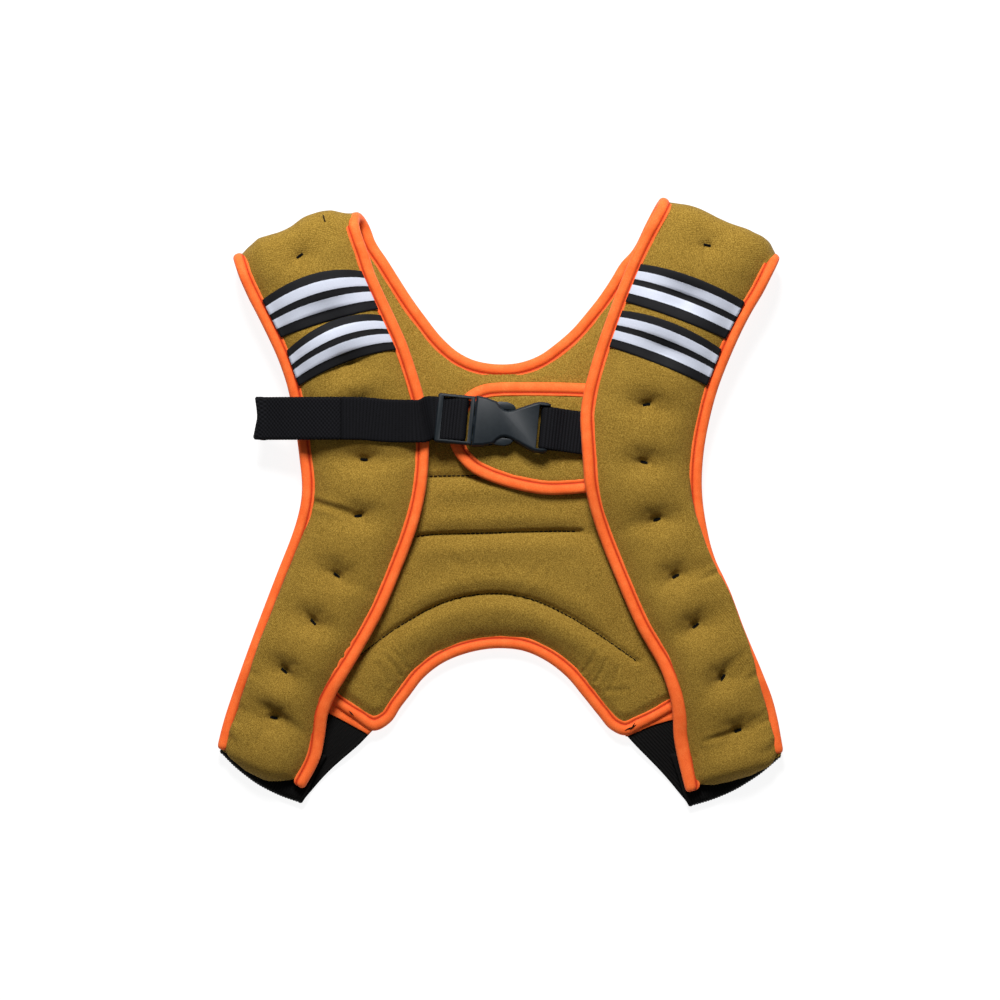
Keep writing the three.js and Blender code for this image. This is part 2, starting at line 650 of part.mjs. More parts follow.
function makeBand(corner, next, foldLine, sign) {
  const endWay = next.clone().sub(corner).normalize();
  const out = vector(endWay.y, -endWay.x).multiplyScalar(sign);
  const startOffset = nose + clearance + nose;
  const start = corner.clone().addScaledVector(out, startOffset).addScaledVector(endWay, nose);
  const stop = next.clone().addScaledVector(out, startOffset).addScaledVector(endWay, bindingWidth);
  const tapeHeight = backMiddle - half / 2;
  const [innerFold, outerFold] = foldLine.map(plan);
  const foldWay = outerFold.clone().sub(innerFold).normalize();
  let past = vector(foldWay.y, -foldWay.x);
  if (past.dot(innerFold.clone().sub(stop)) < 0) past = past.negate();
  const low = bandThickness / 2;
  const inset = bandFoldRadius + bandThickness / 2;
  const innerAxis = innerFold.clone().addScaledVector(past, -inset);
  const outerAxis = outerFold.clone().addScaledVector(past, -inset);
  const row = (inner, outer, angle, height, bow, thickness = bandThickness) => {
    const normal = past.clone().multiplyScalar(Math.sin(angle)).addScaledVector(up, -Math.cos(angle));
    const shares = [0, 0.25, 0.5, 0.75, 1];
    const points = shares.map(share => (
      between(inner, outer, share).addScaledVector(past, bow * 4 * share * (1 - share)).setZ(height)
    ));
    return { points, normals: shares.map(() => normal), thickness };
  };
  const rows = [];
  const steps = 7;
  for (let k = 0; k < steps; k++) {
    const share = k / steps;
    const drop = THREE.MathUtils.smoothstep(share, 0.12, 0.9);
    const height = THREE.MathUtils.lerp(tapeHeight, low, drop);
    const [inner, outer] = [between(stop, innerAxis, share), between(start, outerAxis, share)];
    rows.push(row(inner, outer, 0, height, bandBow * share ** 2));
  }
  const turns = 5;
  for (let k = 0; k <= turns; k++) {
    const angle = Math.PI * k / turns;
    const shift = bandFoldRadius * Math.sin(angle);
    const height = low + bandFoldRadius * (1 - Math.cos(angle));
    const [inner, outer] = [innerAxis, outerAxis].map(point => point.clone().addScaledVector(past, shift));
    rows.push(row(inner, outer, angle, height, bandBow));
  }
  const downWay = innerAxis.clone().sub(stop).normalize();
  const upWay = downWay.clone().addScaledVector(past, -2 * downWay.dot(past));
  for (const share of [0.5, 1]) {
    const tuck = bandTuck * share;
    const [inner, outer] = [innerAxis, outerAxis].map(point => point.clone().addScaledVector(upWay, tuck));
    rows.push(row(inner, outer, Math.PI, low + 2 * bandFoldRadius, bandBow));
  }
  const tapeLine = [start, stop].map(point => ({ point: raised(point, tapeHeight), up }));
  const tapeWidth = bindingWidth - clearance;
  const tape = binding(edgeFrames(tapeLine, -sign), bandThickness / 2 + clearance, padWall, tapeWidth);
  return { band: sheet(rows), tape };
}
const leftBand = makeBand(leftCorner, sidePoints[armCount + 1], leftBandFold, 1);
const rightBand = makeBand(rightCorner, sidePoints[armCount + waistCount - 2], rightBandFold, -1);

// Buckle pad

// The pad leans on the filled channel below its lower edge
const padPoints = shifted(padContour.map(plan), clearance + padWall, 1);
const padHigh = Math.max(...padPoints.map(point => point.y));
const padLow = Math.min(...padPoints.map(point => point.y));
const padSlope = (channelRise + clearance) / (padHigh - padLow);
const padLift = point => (padHigh - point.y) * padSlope;
const padUp = vector(0, padSlope, 1).normalize();
const padPath = padPoints.map(point => ({ point: raised(point, padMiddle + padLift(point)), up: padUp }));
const padFrames = edgeFrames(padPath, 1);
const padWidth = bindingWidth - 1;
const padRamp = padWidth + 3; // the pad is full from here
const padSlab = paddedSlab(closedFrames(padPoints), [
  [padRamp, padMiddle - padEdge / 2 - padRise], [padWidth, padMiddle - padEdge / 2],
  [0, padMiddle - padEdge / 2], [0, padMiddle + padEdge / 2],
  [padWidth, padMiddle + padEdge / 2], [padRamp, padTop],
], padLift);
const padBinding = binding(padFrames, padEdge / 2 + clearance, padWall, padWidth);

// Buckle, in its own frame: x from the mouth to the right, z up out of the vest

const buckle = new THREE.Group();
const mouthPlace = plan(mouth);
const { degToRad } = THREE.MathUtils;
const tiltLift = (degrees, slope, reach) => Math.max(0, Math.tan(degToRad(degrees)) - slope) * reach;
const buckleHeight = padTop + padLift(mouthPlace) + clearance + buckleThickness / 2
  + tiltLift(-buckleRoll, padSlope, buckleWidth / 2) + tiltLift(bucklePitch, 0, buckleLength);
buckle.position.set(mouthPlace.x, mouthPlace.y, buckleHeight);
buckle.rotation.set(degToRad(buckleRoll), degToRad(bucklePitch), degToRad(buckleYaw), 'ZYX');
buckle.updateMatrixWorld(true);

const halfWidth = buckleWidth / 2;
const slotHalf = webbingWidth / 2 + clearance;
const cavityHalf = buckleThickness / 2 - buckleWall;
const barHalf = barThickness / 2;
const webbingLift = barHalf + clearance + webbingThickness / 2; // middle of the webbing over a bar
const bothSides = points => [...points, ...points.slice().reverse().map(([x, y]) => [x, -y])];
const scaled = rows => rows.map(({ along: x, across: y }) => [x * buckleLength, y * halfWidth]);

// Plate with its edges rounded over by a chamfer
function chamfered(points, thickness, chamfer) {
  const frames = closedFrames(points.map(([x, y]) => vector(x, y)));
  const h = thickness / 2;
  const level = (reach, z) => frames.map(frame => raised(rim(frame, reach, 0), z));
  return loft([level(chamfer, -h), level(0, -h + chamfer), level(0, h - chamfer), level(chamfer, h)]);
}

const rearSlot = 0.85 * buckleLength;
const rearBar = 0.925 * buckleLength;

function makeFemale() {
  const body = chamfered(bothSides(scaled(femaleOutline)).reverse(), buckleThickness, buckleChamfer);
  const throat = 0.8 * halfWidth;
  const window = buckleWidth;
  const mouthDepth = 0.22 * buckleLength;
  const windowEnd = 0.565 * buckleLength;
  const cavity = prism(bothSides([
    [-1, throat], [mouthDepth, throat], [mouthDepth + 1, window], [windowEnd, window],
    [windowEnd, 0.62 * halfWidth], [windowEnd + 1.5, 0.6 * halfWidth],
  ]), -cavityHalf, cavityHalf);
  const past = buckleLength + 1;
  const h = buckleThickness;
  return cut(
    body, cavity,
    block(rearSlot, rearBar, -slotHalf, slotHalf, -h, h),
    block(rearSlot, past, -slotHalf, slotHalf, barHalf, h),
    block(rearSlot, past, -slotHalf, slotHalf, -h, -barHalf),
  );
}

const middleBar = { from: -0.404 * frameLength, to: -0.272 * frameLength };

function makeMale() {
  const h = frameThickness / 2;
  const outside = slotHalf + railWidth;
  const outline = [[-frameLength, outside - 1], [-frameLength + 1, outside], [-clearance, outside]];
  const plate = chamfered(bothSides(outline).reverse(), frameThickness, frameChamfer);
  const inside = [-frameLength + outerBar, -baseLength];
  const frame = cut(
    plate,
    block(inside[0], inside[1], -slotHalf, slotHalf, -2 * h, 2 * h),
    block(-frameLength - 1, inside[0] + 1, -slotHalf, slotHalf, -2 * h, barUnderside),
  );
  const bar = block(middleBar.from, middleBar.to, -slotHalf - 1, slotHalf + 1, -barHalf, barHalf);
  const prongHalf = cavityHalf - clearance;
  const prong = scaled(prongOutline);
  const mirror = points => points.map(([x, y]) => [x, -y]);
  const guide = block(-1, 0.45 * buckleLength, -0.18 * halfWidth, 0.18 * halfWidth, -prongHalf, prongHalf);
  const prongs = [prong, mirror(prong)].map(outline => prism(outline, -prongHalf, prongHalf));
  return joined(frame, bar, ...prongs, guide);
}

// Webbing: rows across a line, each with a place, a way across and an upward side
const webbing = rows => sheet(rows.map(({ place, across, upward, layers = 1 }) => ({
  points: [-1, 1].map(sign => place.clone().addScaledVector(across, sign * webbingWidth / 2)),
  normals: [upward, upward],
  thickness: webbingThickness * layers,
})));
const fromBuckle = (x, z) => vector(x, 0, z).applyMatrix4(buckle.matrixWorld);
const turnOf = way => way.clone().transformDirection(buckle.matrixWorld);

// Rows of webbing along a line of places, whose ways across go from one direction to another
function webbingRows(places, acrossAt, layersAt = () => 1) {
  return places.map((place, i) => {
    const { tangent, mitre } = bend(places, i);
    const across = acrossAt(i).clone().projectOnPlane(tangent).normalize();
    const upward = tangent.cross(across).normalize().multiplyScalar(Math.min(mitre, 1.6));
    return { place, across, upward, layers: layersAt(i) };
  });
}

const buckleAcross = turnOf(vector(0, 1, 0));
const levelAcross = vector(0, 1, 0);

// Right strap: a loop round the female half's bar, both layers sewn under the right panel's edge
const strapEnd = plan({ across: 0.330, up: 0.228 });
const strapGround = surfaceOf(padSlab, padBinding, back);
const strapFloor = place => {
  const spots = [-1, -0.5, 0, 0.5, 1].map(share => strapGround(place.x, place.y + share * webbingWidth / 2));
  return Math.max(...spots) + 2 * clearance + webbingThickness / 2;
};
const loopSetback = 0.4; // where the loop leaves the bar, short of the bar's middle
const loopSpread = 0.1;
const loopReach = 1.5; // past the bar's middle
function makeRightStrap() {
  const layer = sign => {
    const root = [
      fromBuckle(rearBar - loopSetback, sign * webbingLift),
      fromBuckle(buckleLength, sign * (webbingLift + loopSpread)),
    ];
    const from = fromBuckle(buckleLength + 1, 0);
    const run = [0.35, 0.7, 0.85, 1].map(share => {
      const place = between(from, strapEnd, share);
      const lowest = Math.max(strapFloor(place), THREE.MathUtils.lerp(from.z - webbingLift, 0, share));
      const apart = webbingThickness + clearance;
      return raised(place, lowest + (sign > 0 ? apart + webbingLift * (1 - share) : 0));
    });
    return [...root, ...run];
  };
  const turn = [1, 0, -1].map(way => (
    fromBuckle(rearBar - loopReach * (way ? 0.75 : 1), way * 0.75 * webbingLift)
  ));
  const places = [...layer(1).reverse(), ...turn, ...layer(-1)];
  const middle = (places.length - 1) / 2;
  const acrossAt = i => between(buckleAcross, levelAcross, Math.max(0, Math.abs(i - middle) - 4) / 3);
  return webbing(webbingRows(places, acrossAt));
}
const rightStrap = makeRightStrap();

// Left strap: sewn under the left panel's edge, up round the frame's middle bar, and back over the panel
const strapStart = plan({ across: -0.330, up: 0.272 });
const wrapRows = named(['along', 'lift'], [
  [-1.17, -3.22], [-0.94, -2.17], [-0.62, -1.30], [-0.34, -1.07], [-0.265, -0.98], [-0.225, -0.57],
  [-0.212, 0], [-0.225, 0.57], [-0.265, 0.98], [-0.34, 1.04], [-0.404, 1], [-0.50, 0.72],
  [-0.62, 0.26], [-0.73, -0.06], [-0.83, -0.27], [-0.95, -0.37], [-1.10, -0.30],
]);
const wrap = wrapRows.map(({ along: x, lift }) => fromBuckle(x * frameLength, lift * webbingLift));
const loadPlaces = () => {
  const first = wrap[0];
  return [1, 0.75, 0.4].map(share => raised(between(first, strapStart, share), Math.max(
    strapFloor(between(first, strapStart, share)), THREE.MathUtils.lerp(first.z, backThickness + 5, share),
  )));
};
const leftLoad = [...loadPlaces(), wrap[0]];
const loadCover = webbing(webbingRows(leftLoad, () => levelAcross));

// The panels settle on what lies below them, and the bindings follow both panels and back

const ground = [back, ...backTrim, leftBand.band, rightBand.band, leftBand.tape, rightBand.tape];
const leftStations = [...settle(leftPlan.stations, surfaceOf(...ground, loadCover)), ...leftPlan.fold];
const rightGround = surfaceOf(...ground, padSlab, padBinding, rightStrap);
const rightStations = [...settle(rightPlan.stations, rightGround), ...rightPlan.fold];
const leftPanel = makePanel(leftStations, false);
const rightPanel = makePanel(rightStations, true);

const stationsOf = frames => frames.map(({ point, up: upward }) => ({ point, up: upward }));
const neckPath = [
  ...stationsOf(leftPanel.innerFrames), ...atBack(neckPoints.slice(1, -1), downward),
  ...stationsOf(rightPanel.innerFrames).reverse(),
];
const neckBinding = panelBinding(edgeFrames(neckPath, 1));
const leftArmPath = [...stationsOf(leftPanel.outerFrames), ...atBack(leftArmPoints.slice(1), downward)];
const rightArmPath = [
  ...stationsOf(rightPanel.outerFrames), ...atBack(rightArmPoints.slice(0, -1).reverse(), downward),
];
const leftArmBinding = panelBinding(edgeFrames(leftArmPath, -1));
const rightArmBinding = panelBinding(edgeFrames(rightArmPath, 1));

// Free end of the left strap, laid over the left panel
const tailSpacing = 5; // between its cross sections
const tailDroop = 0.0072; // how fast it falls beside what holds it up, per square millimetre
const tailSlant = 0.2; // of the cut end
function makeLeftStrap() {
  const overPanel = surfaceOf(leftPanel.geometry, neckBinding, leftArmBinding);
  const exit = wrap[wrap.length - 1];
  const rows = [];
  const line = [];
  const fine = 8;
  for (let k = 0; k <= fine * (tailLine.length - 1); k++) {
    const { across, up: share } = along(tailLine, k / fine);
    line.push({ place: plan({ across, up: share }), t: k / fine });
  }
  let last = line[0].place;
  for (const { place, t } of line) {
    if (rows.length && place.distanceTo(last) < tailSpacing) continue;
    const spots = [-1, -0.67, -0.33, 0, 0.33, 0.67, 1].map(share => (
      overPanel(place.x, place.y + share * webbingWidth / 2)
    ));
    rows.push({ place, layers: tailLine[Math.floor(t)].layers, need: Math.max(...spots, 0) });
    last = place;
  }
  rows.push({ place: line[line.length - 1].place, layers: 2, need: 0 });
  const heights = rows.map(({ place, layers }) => {
    const hung = rows.map(other => other.need - tailDroop * other.place.distanceTo(place) ** 2);
    return Math.max(...hung) + tailLoft + webbingThickness * layers / 2;
  });
  const heightAt = i => heights[THREE.MathUtils.clamp(i, 0, heights.length - 1)];
  const smooth = heights.map((height, i) => Math.max(height, (heightAt(i - 1) + heightAt(i + 1)) / 2));
  const tail = rows.map(({ place }, i) => raised(place, Math.max(smooth[i], i < 3 ? exit.z - i : 0)));
  const places = [...leftLoad, ...wrap.slice(1), ...tail];
  const inBuckle = leftLoad.length + wrap.length - 1;
  const slant = vector(tailSlant, 1).normalize();
  const acrossAt = i => {
    const turned = THREE.MathUtils.clamp((i - leftLoad.length + 1) / 2, 0, 1);
    if (i < inBuckle) return between(levelAcross, buckleAcross, turned);
    if (i === places.length - 1) return slant;
    return between(buckleAcross, levelAcross, Math.min(1, (i - inBuckle + 1) / 3));
  };
  return webbing(webbingRows(places, acrossAt, i => (i < inBuckle ? 1 : rows[i - inBuckle].layers)));
}
const leftStrap = makeLeftStrap();

// Reflective tapes, laid over the panels between the bindings

// First place on a way that is clear inside the binding of an edge
function clearOf(frames, from, way) {
  const edge = frames.map(frame => frame.point.clone().setZ(0));
  const reach = bindingReach + clearance + tapeGap + tapeThickness;
  const inside = point => {
    let closest = { distance: Infinity };
    for (let i = 0; i + 1 < edge.length; i++) {
      const foot = new THREE.Line3(edge[i], edge[i + 1]).closestPointToPoint(point, true, vector(0, 0, 0));
      const distance = foot.distanceTo(point);
      const depth = point.clone().sub(foot).dot(frames[i].inward);
      if (distance < closest.distance) closest = { distance, depth };
    }
    return closest.depth > 0 && closest.distance >= reach;
  };
  const step = 0.25;
  const point = from.clone();
  for (let k = 0; k < 30 * bindingWidth && !inside(point); k++) point.addScaledVector(way, step);
  return point;
}

const tapeReach = 3; // over which the panel's slope under a tape is measured
function makeTape(tape) {
  const panel = tape.panel === 'left' ? leftPanel : rightPanel;
  const surface = surfaceOf(panel.geometry);
  const corner = (across, share) => plan({ across, up: share });
  const outer = [corner(tape.outerAcross, tape.outerTop), corner(tape.outerAcrossLow, tape.outerLow)];
  const inner = [corner(tape.innerAcross, tape.innerTop), corner(tape.innerAcrossLow, tape.innerLow)];
  // Each long side of the tape runs from one binding to the other
  for (const i of [0, 1]) {
    const line = outer[i].clone().sub(inner[i]).normalize();
    outer[i].addScaledVector(line, bindingWidth);
    inner[i].addScaledVector(line, -bindingWidth);
    outer[i] = clearOf(panel.outerFrames, outer[i], line.clone().negate());
    inner[i] = clearOf(panel.innerFrames, inner[i], line);
  }
  const steps = 14;
  const widthShares = [0, 0.2, 0.4, 0.6, 0.8, 1];
  const rows = [];
  for (let k = 0; k <= steps; k++) {
    const share = k / steps;
    const bowed = bow => plan({ across: 0, up: bow * 4 * share * (1 - share) });
    const top = between(outer[0], inner[0], share).add(bowed(tape.topBow));
    const low = between(outer[1], inner[1], share).add(bowed(tape.lowBow));
    const points = widthShares.map(width => between(top, low, width));
    const normals = points.map(({ x, y }) => {
      const slope = (dx, dy) => surface(x - dx, y - dy) - surface(x + dx, y + dy);
      const tilt = vector(slope(tapeReach, 0), slope(0, tapeReach), 2 * tapeReach);
      return Number.isFinite(tilt.length()) ? tilt.normalize() : up.clone();
    });
    points.forEach((point, i) => {
      const near = [[0, 0], [1, 0], [-1, 0], [0, 1], [0, -1]].map(([x, y]) => (
        surface(point.x + x * tapeReach / 2, point.y + y * tapeReach / 2)
      ));
      point.z = Math.max(...near);
      point.addScaledVector(normals[i], tapeGap + tapeThickness / 2);
    });
    rows.push({ points, normals, thickness: tapeThickness });
  }
  return sheet(rows);
}

// Assembly

const finish = {
  olive: { color: colours.olive, roughness: 0.85, metalness: 0 },
  orange: { color: colours.orange, roughness: 0.7, metalness: 0 },
  black: { color: colours.black, roughness: 0.8, metalness: 0 },
  plastic: { color: colours.plastic, roughness: 0.45, metalness: 0 },
  tape: { color: colours.tape, roughness: 0.5, metalness: 0 },
};
const vest = new THREE.Group();
function add(name, geometry, look, parent = vest) {
  geometry.computeVertexNormals();
  const mesh = new THREE.Mesh(geometry, new THREE.MeshStandardMaterial(finish[look]));
  mesh.name = name;
  parent.add(mesh);
}
add('back_panel', back, 'olive');
add('front_panel_left', leftPanel.geometry, 'olive');
add('front_panel_right', rightPanel.geometry, 'olive');
add('buckle_pad', padSlab, 'olive');
add('neck_binding', neckBinding, 'orange');
add('arm_binding_left', leftArmBinding, 'orange');
add('arm_binding_right', rightArmBinding, 'orange');
add('waist_binding', waistBinding, 'orange');
add('pad_binding', padBinding, 'orange');
add('band_tape_left', leftBand.tape, 'orange');
add('band_tape_right', rightBand.tape, 'orange');
add('side_band_left', leftBand.band, 'black');
add('side_band_right', rightBand.band, 'black');
add('chest_strap_left', leftStrap, 'black');
add('chest_strap_right', rightStrap, 'black');
for (const tape of tapes) add(`reflective_tape_${tape.name}`, makeTape(tape), 'tape');
vest.add(buckle);
add('buckle_female', makeFemale(), 'plastic', buckle);
add('buckle_male', makeMale(), 'plastic', buckle);

// The origin is on the floor, under the middle of the whole
const middle = new THREE.Box3().setFromObject(vest, true).getCenter(vector(0, 0, 0));
vest.position.set(-middle.x, -middle.y, 0);

export default vest;
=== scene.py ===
import math
import bmesh
import bpy
import numpy as np
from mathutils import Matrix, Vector, noise
from mathutils.bvhtree import BVHTree


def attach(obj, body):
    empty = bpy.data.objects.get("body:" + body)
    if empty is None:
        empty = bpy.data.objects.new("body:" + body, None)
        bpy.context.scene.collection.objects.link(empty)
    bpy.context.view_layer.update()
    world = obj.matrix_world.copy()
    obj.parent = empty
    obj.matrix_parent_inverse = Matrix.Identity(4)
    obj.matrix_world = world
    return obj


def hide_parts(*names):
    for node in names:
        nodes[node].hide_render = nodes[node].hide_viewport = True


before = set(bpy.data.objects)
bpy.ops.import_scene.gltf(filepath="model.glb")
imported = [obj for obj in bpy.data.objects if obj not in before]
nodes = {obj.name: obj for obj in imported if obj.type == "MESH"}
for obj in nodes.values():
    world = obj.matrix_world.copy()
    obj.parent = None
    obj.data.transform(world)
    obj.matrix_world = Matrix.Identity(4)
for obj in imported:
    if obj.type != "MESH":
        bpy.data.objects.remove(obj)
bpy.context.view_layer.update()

mm = 0.001
middle = (0.0001, -0.0012)  # photograph's centre line to the part's origin
bpy.ops.object.select_all(action="DESELECT")

# Camera, light and floor

studio = {
    "frameWidth": 0.7, "cameraHeight": 5.0, "lookAt": (-0.0002, 0.0016),
    "keyPlace": (-0.10, 1.20, 1.25), "keySize": 0.6, "keyPower": 44,
    "fillPlace": (0.1, -0.6, 1.4), "fillSize": 0.9, "fillPower": 1.0,
    "skyStrength": 0.10, "floorColour": (0.2, 0.2, 0.2), "floorGlow": 0.90,
}


def addArea(name, place, size, power):
    bpy.ops.object.light_add(type="AREA", location=place)
    lamp = bpy.context.object
    lamp.name = name
    lamp.data.shape = "DISK"
    lamp.data.size = size
    lamp.data.energy = power
    lamp.rotation_euler = (-Vector(place)).to_track_quat("-Z", "Y").to_euler()
    return lamp


def setStudio():
    x, y = studio["lookAt"]
    bpy.ops.object.camera_add(location=(x, y, studio["cameraHeight"]), rotation=(0, 0, 0))
    camera = bpy.context.object
    camera.name = "overheadCamera"
    camera.data.sensor_width = 36
    camera.data.lens = 36 * (studio["cameraHeight"] - 0.02) / studio["frameWidth"]
    camera.data.clip_end = 50
    bpy.context.scene.camera = camera
    addArea("keyLight", studio["keyPlace"], studio["keySize"], studio["keyPower"])
    addArea("fillLight", studio["fillPlace"], studio["fillSize"], studio["fillPower"])
    sky = bpy.data.worlds.new("paleSky")
    sky.use_nodes = True
    sky.node_tree.nodes["Background"].inputs["Color"].default_value = (1, 1, 1, 1)
    sky.node_tree.nodes["Background"].inputs["Strength"].default_value = studio["skyStrength"]
    bpy.context.scene.world = sky
    bpy.context.scene.view_settings.view_transform = "Standard"
    bpy.ops.mesh.primitive_plane_add(size=8, location=(0, 0, -0.0003))
    floor = bpy.context.object
    floor.name = "floor"
    paint = bpy.data.materials.new("floorPaint")
    paint.use_nodes = True
    shader = paint.node_tree.nodes["Principled BSDF"]
    shader.inputs["Base Color"].default_value = (*studio["floorColour"], 1)
    shader.inputs["Roughness"].default_value = 0.9
    shader.inputs["Specular IOR Level"].default_value = 0.1
    shader.inputs["Emission Color"].default_value = (1, 1, 1, 1)
    shader.inputs["Emission Strength"].default_value = studio["floorGlow"]
    floor.data.materials.append(paint)


setStudio()
print("studio ready")

# Shader maths


class Wire:
    def __init__(self, tree, socket):
        self.tree = tree
        self.socket = socket

    def maths(self, operation, *values):
        node = self.tree.nodes.new("ShaderNodeMath")
        node.operation = operation
        for slot, value in zip(node.inputs, values):
            if isinstance(value, Wire):
                self.tree.links.new(value.socket, slot)
            else:
                slot.default_value = value
        return Wire(self.tree, node.outputs[0])

    def __add__(self, other):
        return self.maths("ADD", self, other)

    __radd__ = __add__

    def __sub__(self, other):
        return self.maths("SUBTRACT", self, other)

    def __rsub__(self, other):
        return self.maths("SUBTRACT", other, self)

    def __mul__(self, other):
        return self.maths("MULTIPLY", self, other)

    __rmul__ = __mul__

    def __truediv__(self, other):
        return self.maths("DIVIDE", self, other)

    def __gt__(self, other):
        return self.maths("GREATER_THAN", self, other)

    def __lt__(self, other):
        return self.maths("LESS_THAN", self, other)

    def wave(self):
        return self.maths("SINE", self)

    def held(self):
        node = self.tree.nodes.new("ShaderNodeClamp")
        self.tree.links.new(self.socket, node.inputs[0])
        return Wire(self.tree, node.outputs[0])


class Finish:
    def __init__(self, name, **fixed):
        self.material = bpy.data.materials.new(name)
        self.material.use_nodes = True
        self.tree = self.material.node_tree
        self.shader = self.tree.nodes["Principled BSDF"]
        for socket, value in fixed.items():
            self.shader.inputs[socket.replace("_", " ")].default_value = value

    def node(self, kind, settings=None, inputs=None, output=0):
        made = self.tree.nodes.new("ShaderNode" + kind)
        for key, value in (settings or {}).items():
            if key == "stops":
                ramp = made.color_ramp
                while len(ramp.elements) < len(value):
                    ramp.elements.new(1)
                for stop, (place, colour) in zip(ramp.elements, value):
                    stop.position = place
                    stop.color = (*colour, 1)
            else:
                setattr(made, key, value)
        for key, value in (inputs or {}).items():
            if isinstance(value, Wire):
                self.tree.links.new(value.socket, made.inputs[key])
            elif isinstance(value, tuple) and len(value) == 3 and made.inputs[key].type == "RGBA":
                made.inputs[key].default_value = (*value, 1)
            else:
                made.inputs[key].default_value = value
        return Wire(self.tree, made.outputs[output])

    def place(self):
        return self.node("TexCoord", output="Object")

    def uv(self, name="weave"):
        return self.node("UVMap", {"uv_map": name})

    def attribute(self, name):
        return self.node("Attribute", {"attribute_name": name}, output="Fac")

    def parts(self, vector):
        made = self.tree.nodes.new("ShaderNodeSeparateXYZ")
        self.tree.links.new(vector.socket, made.inputs[0])
        return [Wire(self.tree, output) for output in made.outputs]

    def noise(self, vector, scale, detail=2, roughness=0.55):
        values = {"Vector": vector, "Scale": scale, "Detail": detail, "Roughness": roughness}
        return self.node("TexNoise", {}, values)

    def mix(self, share, first, second, blend="MIX"):
        settings = {"data_type": "RGBA", "blend_type": blend}
        return self.node("Mix", settings, {0: share, 6: first, 7: second}, output=2)

    def bump(self, height, strength, distance, normal=None):
        values = {"Height": height, "Strength": strength, "Distance": distance}
        if normal is not None:
            values["Normal"] = normal
        return self.node("Bump", {}, values)

    def feed(self, socket, wire):
        self.tree.links.new(wire.socket, self.shader.inputs[socket])


# Finishes

cloth = {
    "dark": (0.125, 0.070, 0.008), "mid": (0.245, 0.143, 0.020), "light": (0.395, 0.250, 0.046),
    "knitPitch": 0.0013, "grainScale": 1500, "patchScale": 26,
}


def makeKnit(name, useUv):
    knit = Finish(name, Roughness=0.92, Specular_IOR_Level=0.1, Sheen_Weight=0.06, Sheen_Roughness=0.4)
    place = knit.place()
    grain = knit.noise(place, cloth["grainScale"], 3, 0.65)
    speck = knit.noise(place, cloth["grainScale"] * 0.6, 2, 0.6)
    patch = knit.noise(place, cloth["patchScale"], 3, 0.5)
    across, length, _ = knit.parts(knit.uv() if useUv else place)
    turn = 2 * math.pi / cloth["knitPitch"]
    rib = ((across + length * 0.55) * turn).wave()
    course = ((length - across * 0.55) * turn * 0.8).wave()
    loop = rib * course
    tone = (grain * 1.7 + speck * 0.3 + patch * 0.1 - 0.55 + loop * 0.12).held()
    stops = [(0.25, cloth["dark"]), (0.5, cloth["mid"]), (0.75, cloth["light"])]
    colour = knit.node("ValToRGB", {"stops": stops}, {0: tone})
    worn = knit.mix(knit.noise(place, 7, 2) * 0.14, colour, (0.28, 0.178, 0.030))
    knit.feed("Base Color", worn)
    knit.feed("Roughness", 0.86 + grain * 0.14)
    fine = knit.bump(grain * 0.7 + loop * 0.35, 0.55, 0.00028)
    knit.feed("Normal", knit.bump(speck, 0.3, 0.0007, fine))
    return knit.material


def makeTapeCloth(name, groove):
    tape = Finish(name, Roughness=0.62, Specular_IOR_Level=0.12, Sheen_Weight=0.05, Sheen_Roughness=0.4)
    across, length, _ = tape.parts(tape.uv())
    place = tape.place()
    grain = tape.noise(place, 1700, 2, 0.6)
    cloud = tape.noise(place, 120, 2, 0.5)
    weft = (length * (2 * math.pi / 0.00075)).wave()
    tone = (grain * 0.6 + cloud * 0.35 + weft * 0.04).held()
    stops = [(0.25, (0.80, 0.095, 0.016)), (0.5, (0.95, 0.155, 0.030)), (0.75, (1.0, 0.26, 0.070))]
    colour = tape.node("ValToRGB", {"stops": stops}, {0: tone})
    # painted shade: the recess between the roll and the flange is darkened to a deep orange-red, as shade falls there
    if groove:
        colour = tape.mix(tape.attribute("groove"), colour, (0.52, 0.035, 0.008))
    tape.feed("Base Color", colour)
    tape.feed("Roughness", 0.55 + grain * 0.2)
    tape.feed("Normal", tape.bump(grain * 0.6 + weft * 0.4, 0.35, 0.0002))
    return tape.material


def makeWebbingCloth(name, pitch, along, light, dark):
    web = Finish(name, Roughness=0.72, Specular_IOR_Level=0.08)
    across, length, _ = web.parts(web.uv())
    run, over = (length, across) if along else (across, length)
    hem = web.attribute("hem")
    plain = 1 - hem
    yarn = (run * (2 * math.pi / pitch)).wave()
    pick = (over * (2 * math.pi / (pitch * 0.55))).wave()
    waffle = (over * (2 * math.pi / 0.0030)).wave() * (run * (2 * math.pi / 0.0026)).wave()
    grain = web.noise(web.place(), 1500, 2, 0.6)
    weave = (yarn * 0.2 + yarn * pick * 0.16) * plain + waffle * hem * 0.4
    tone = (0.42 + weave + (grain - 0.5) * 0.8 - hem * plain * 1.6).held()
    web.feed("Base Color", web.mix(tone, dark, light))
    web.feed("Roughness", 0.62 + grain * 0.25)
    web.feed("Normal", web.bump(yarn * pick * plain * 0.5 + waffle * hem * 0.9 + grain * 0.5, 0.6, 0.0003))
    return web.material


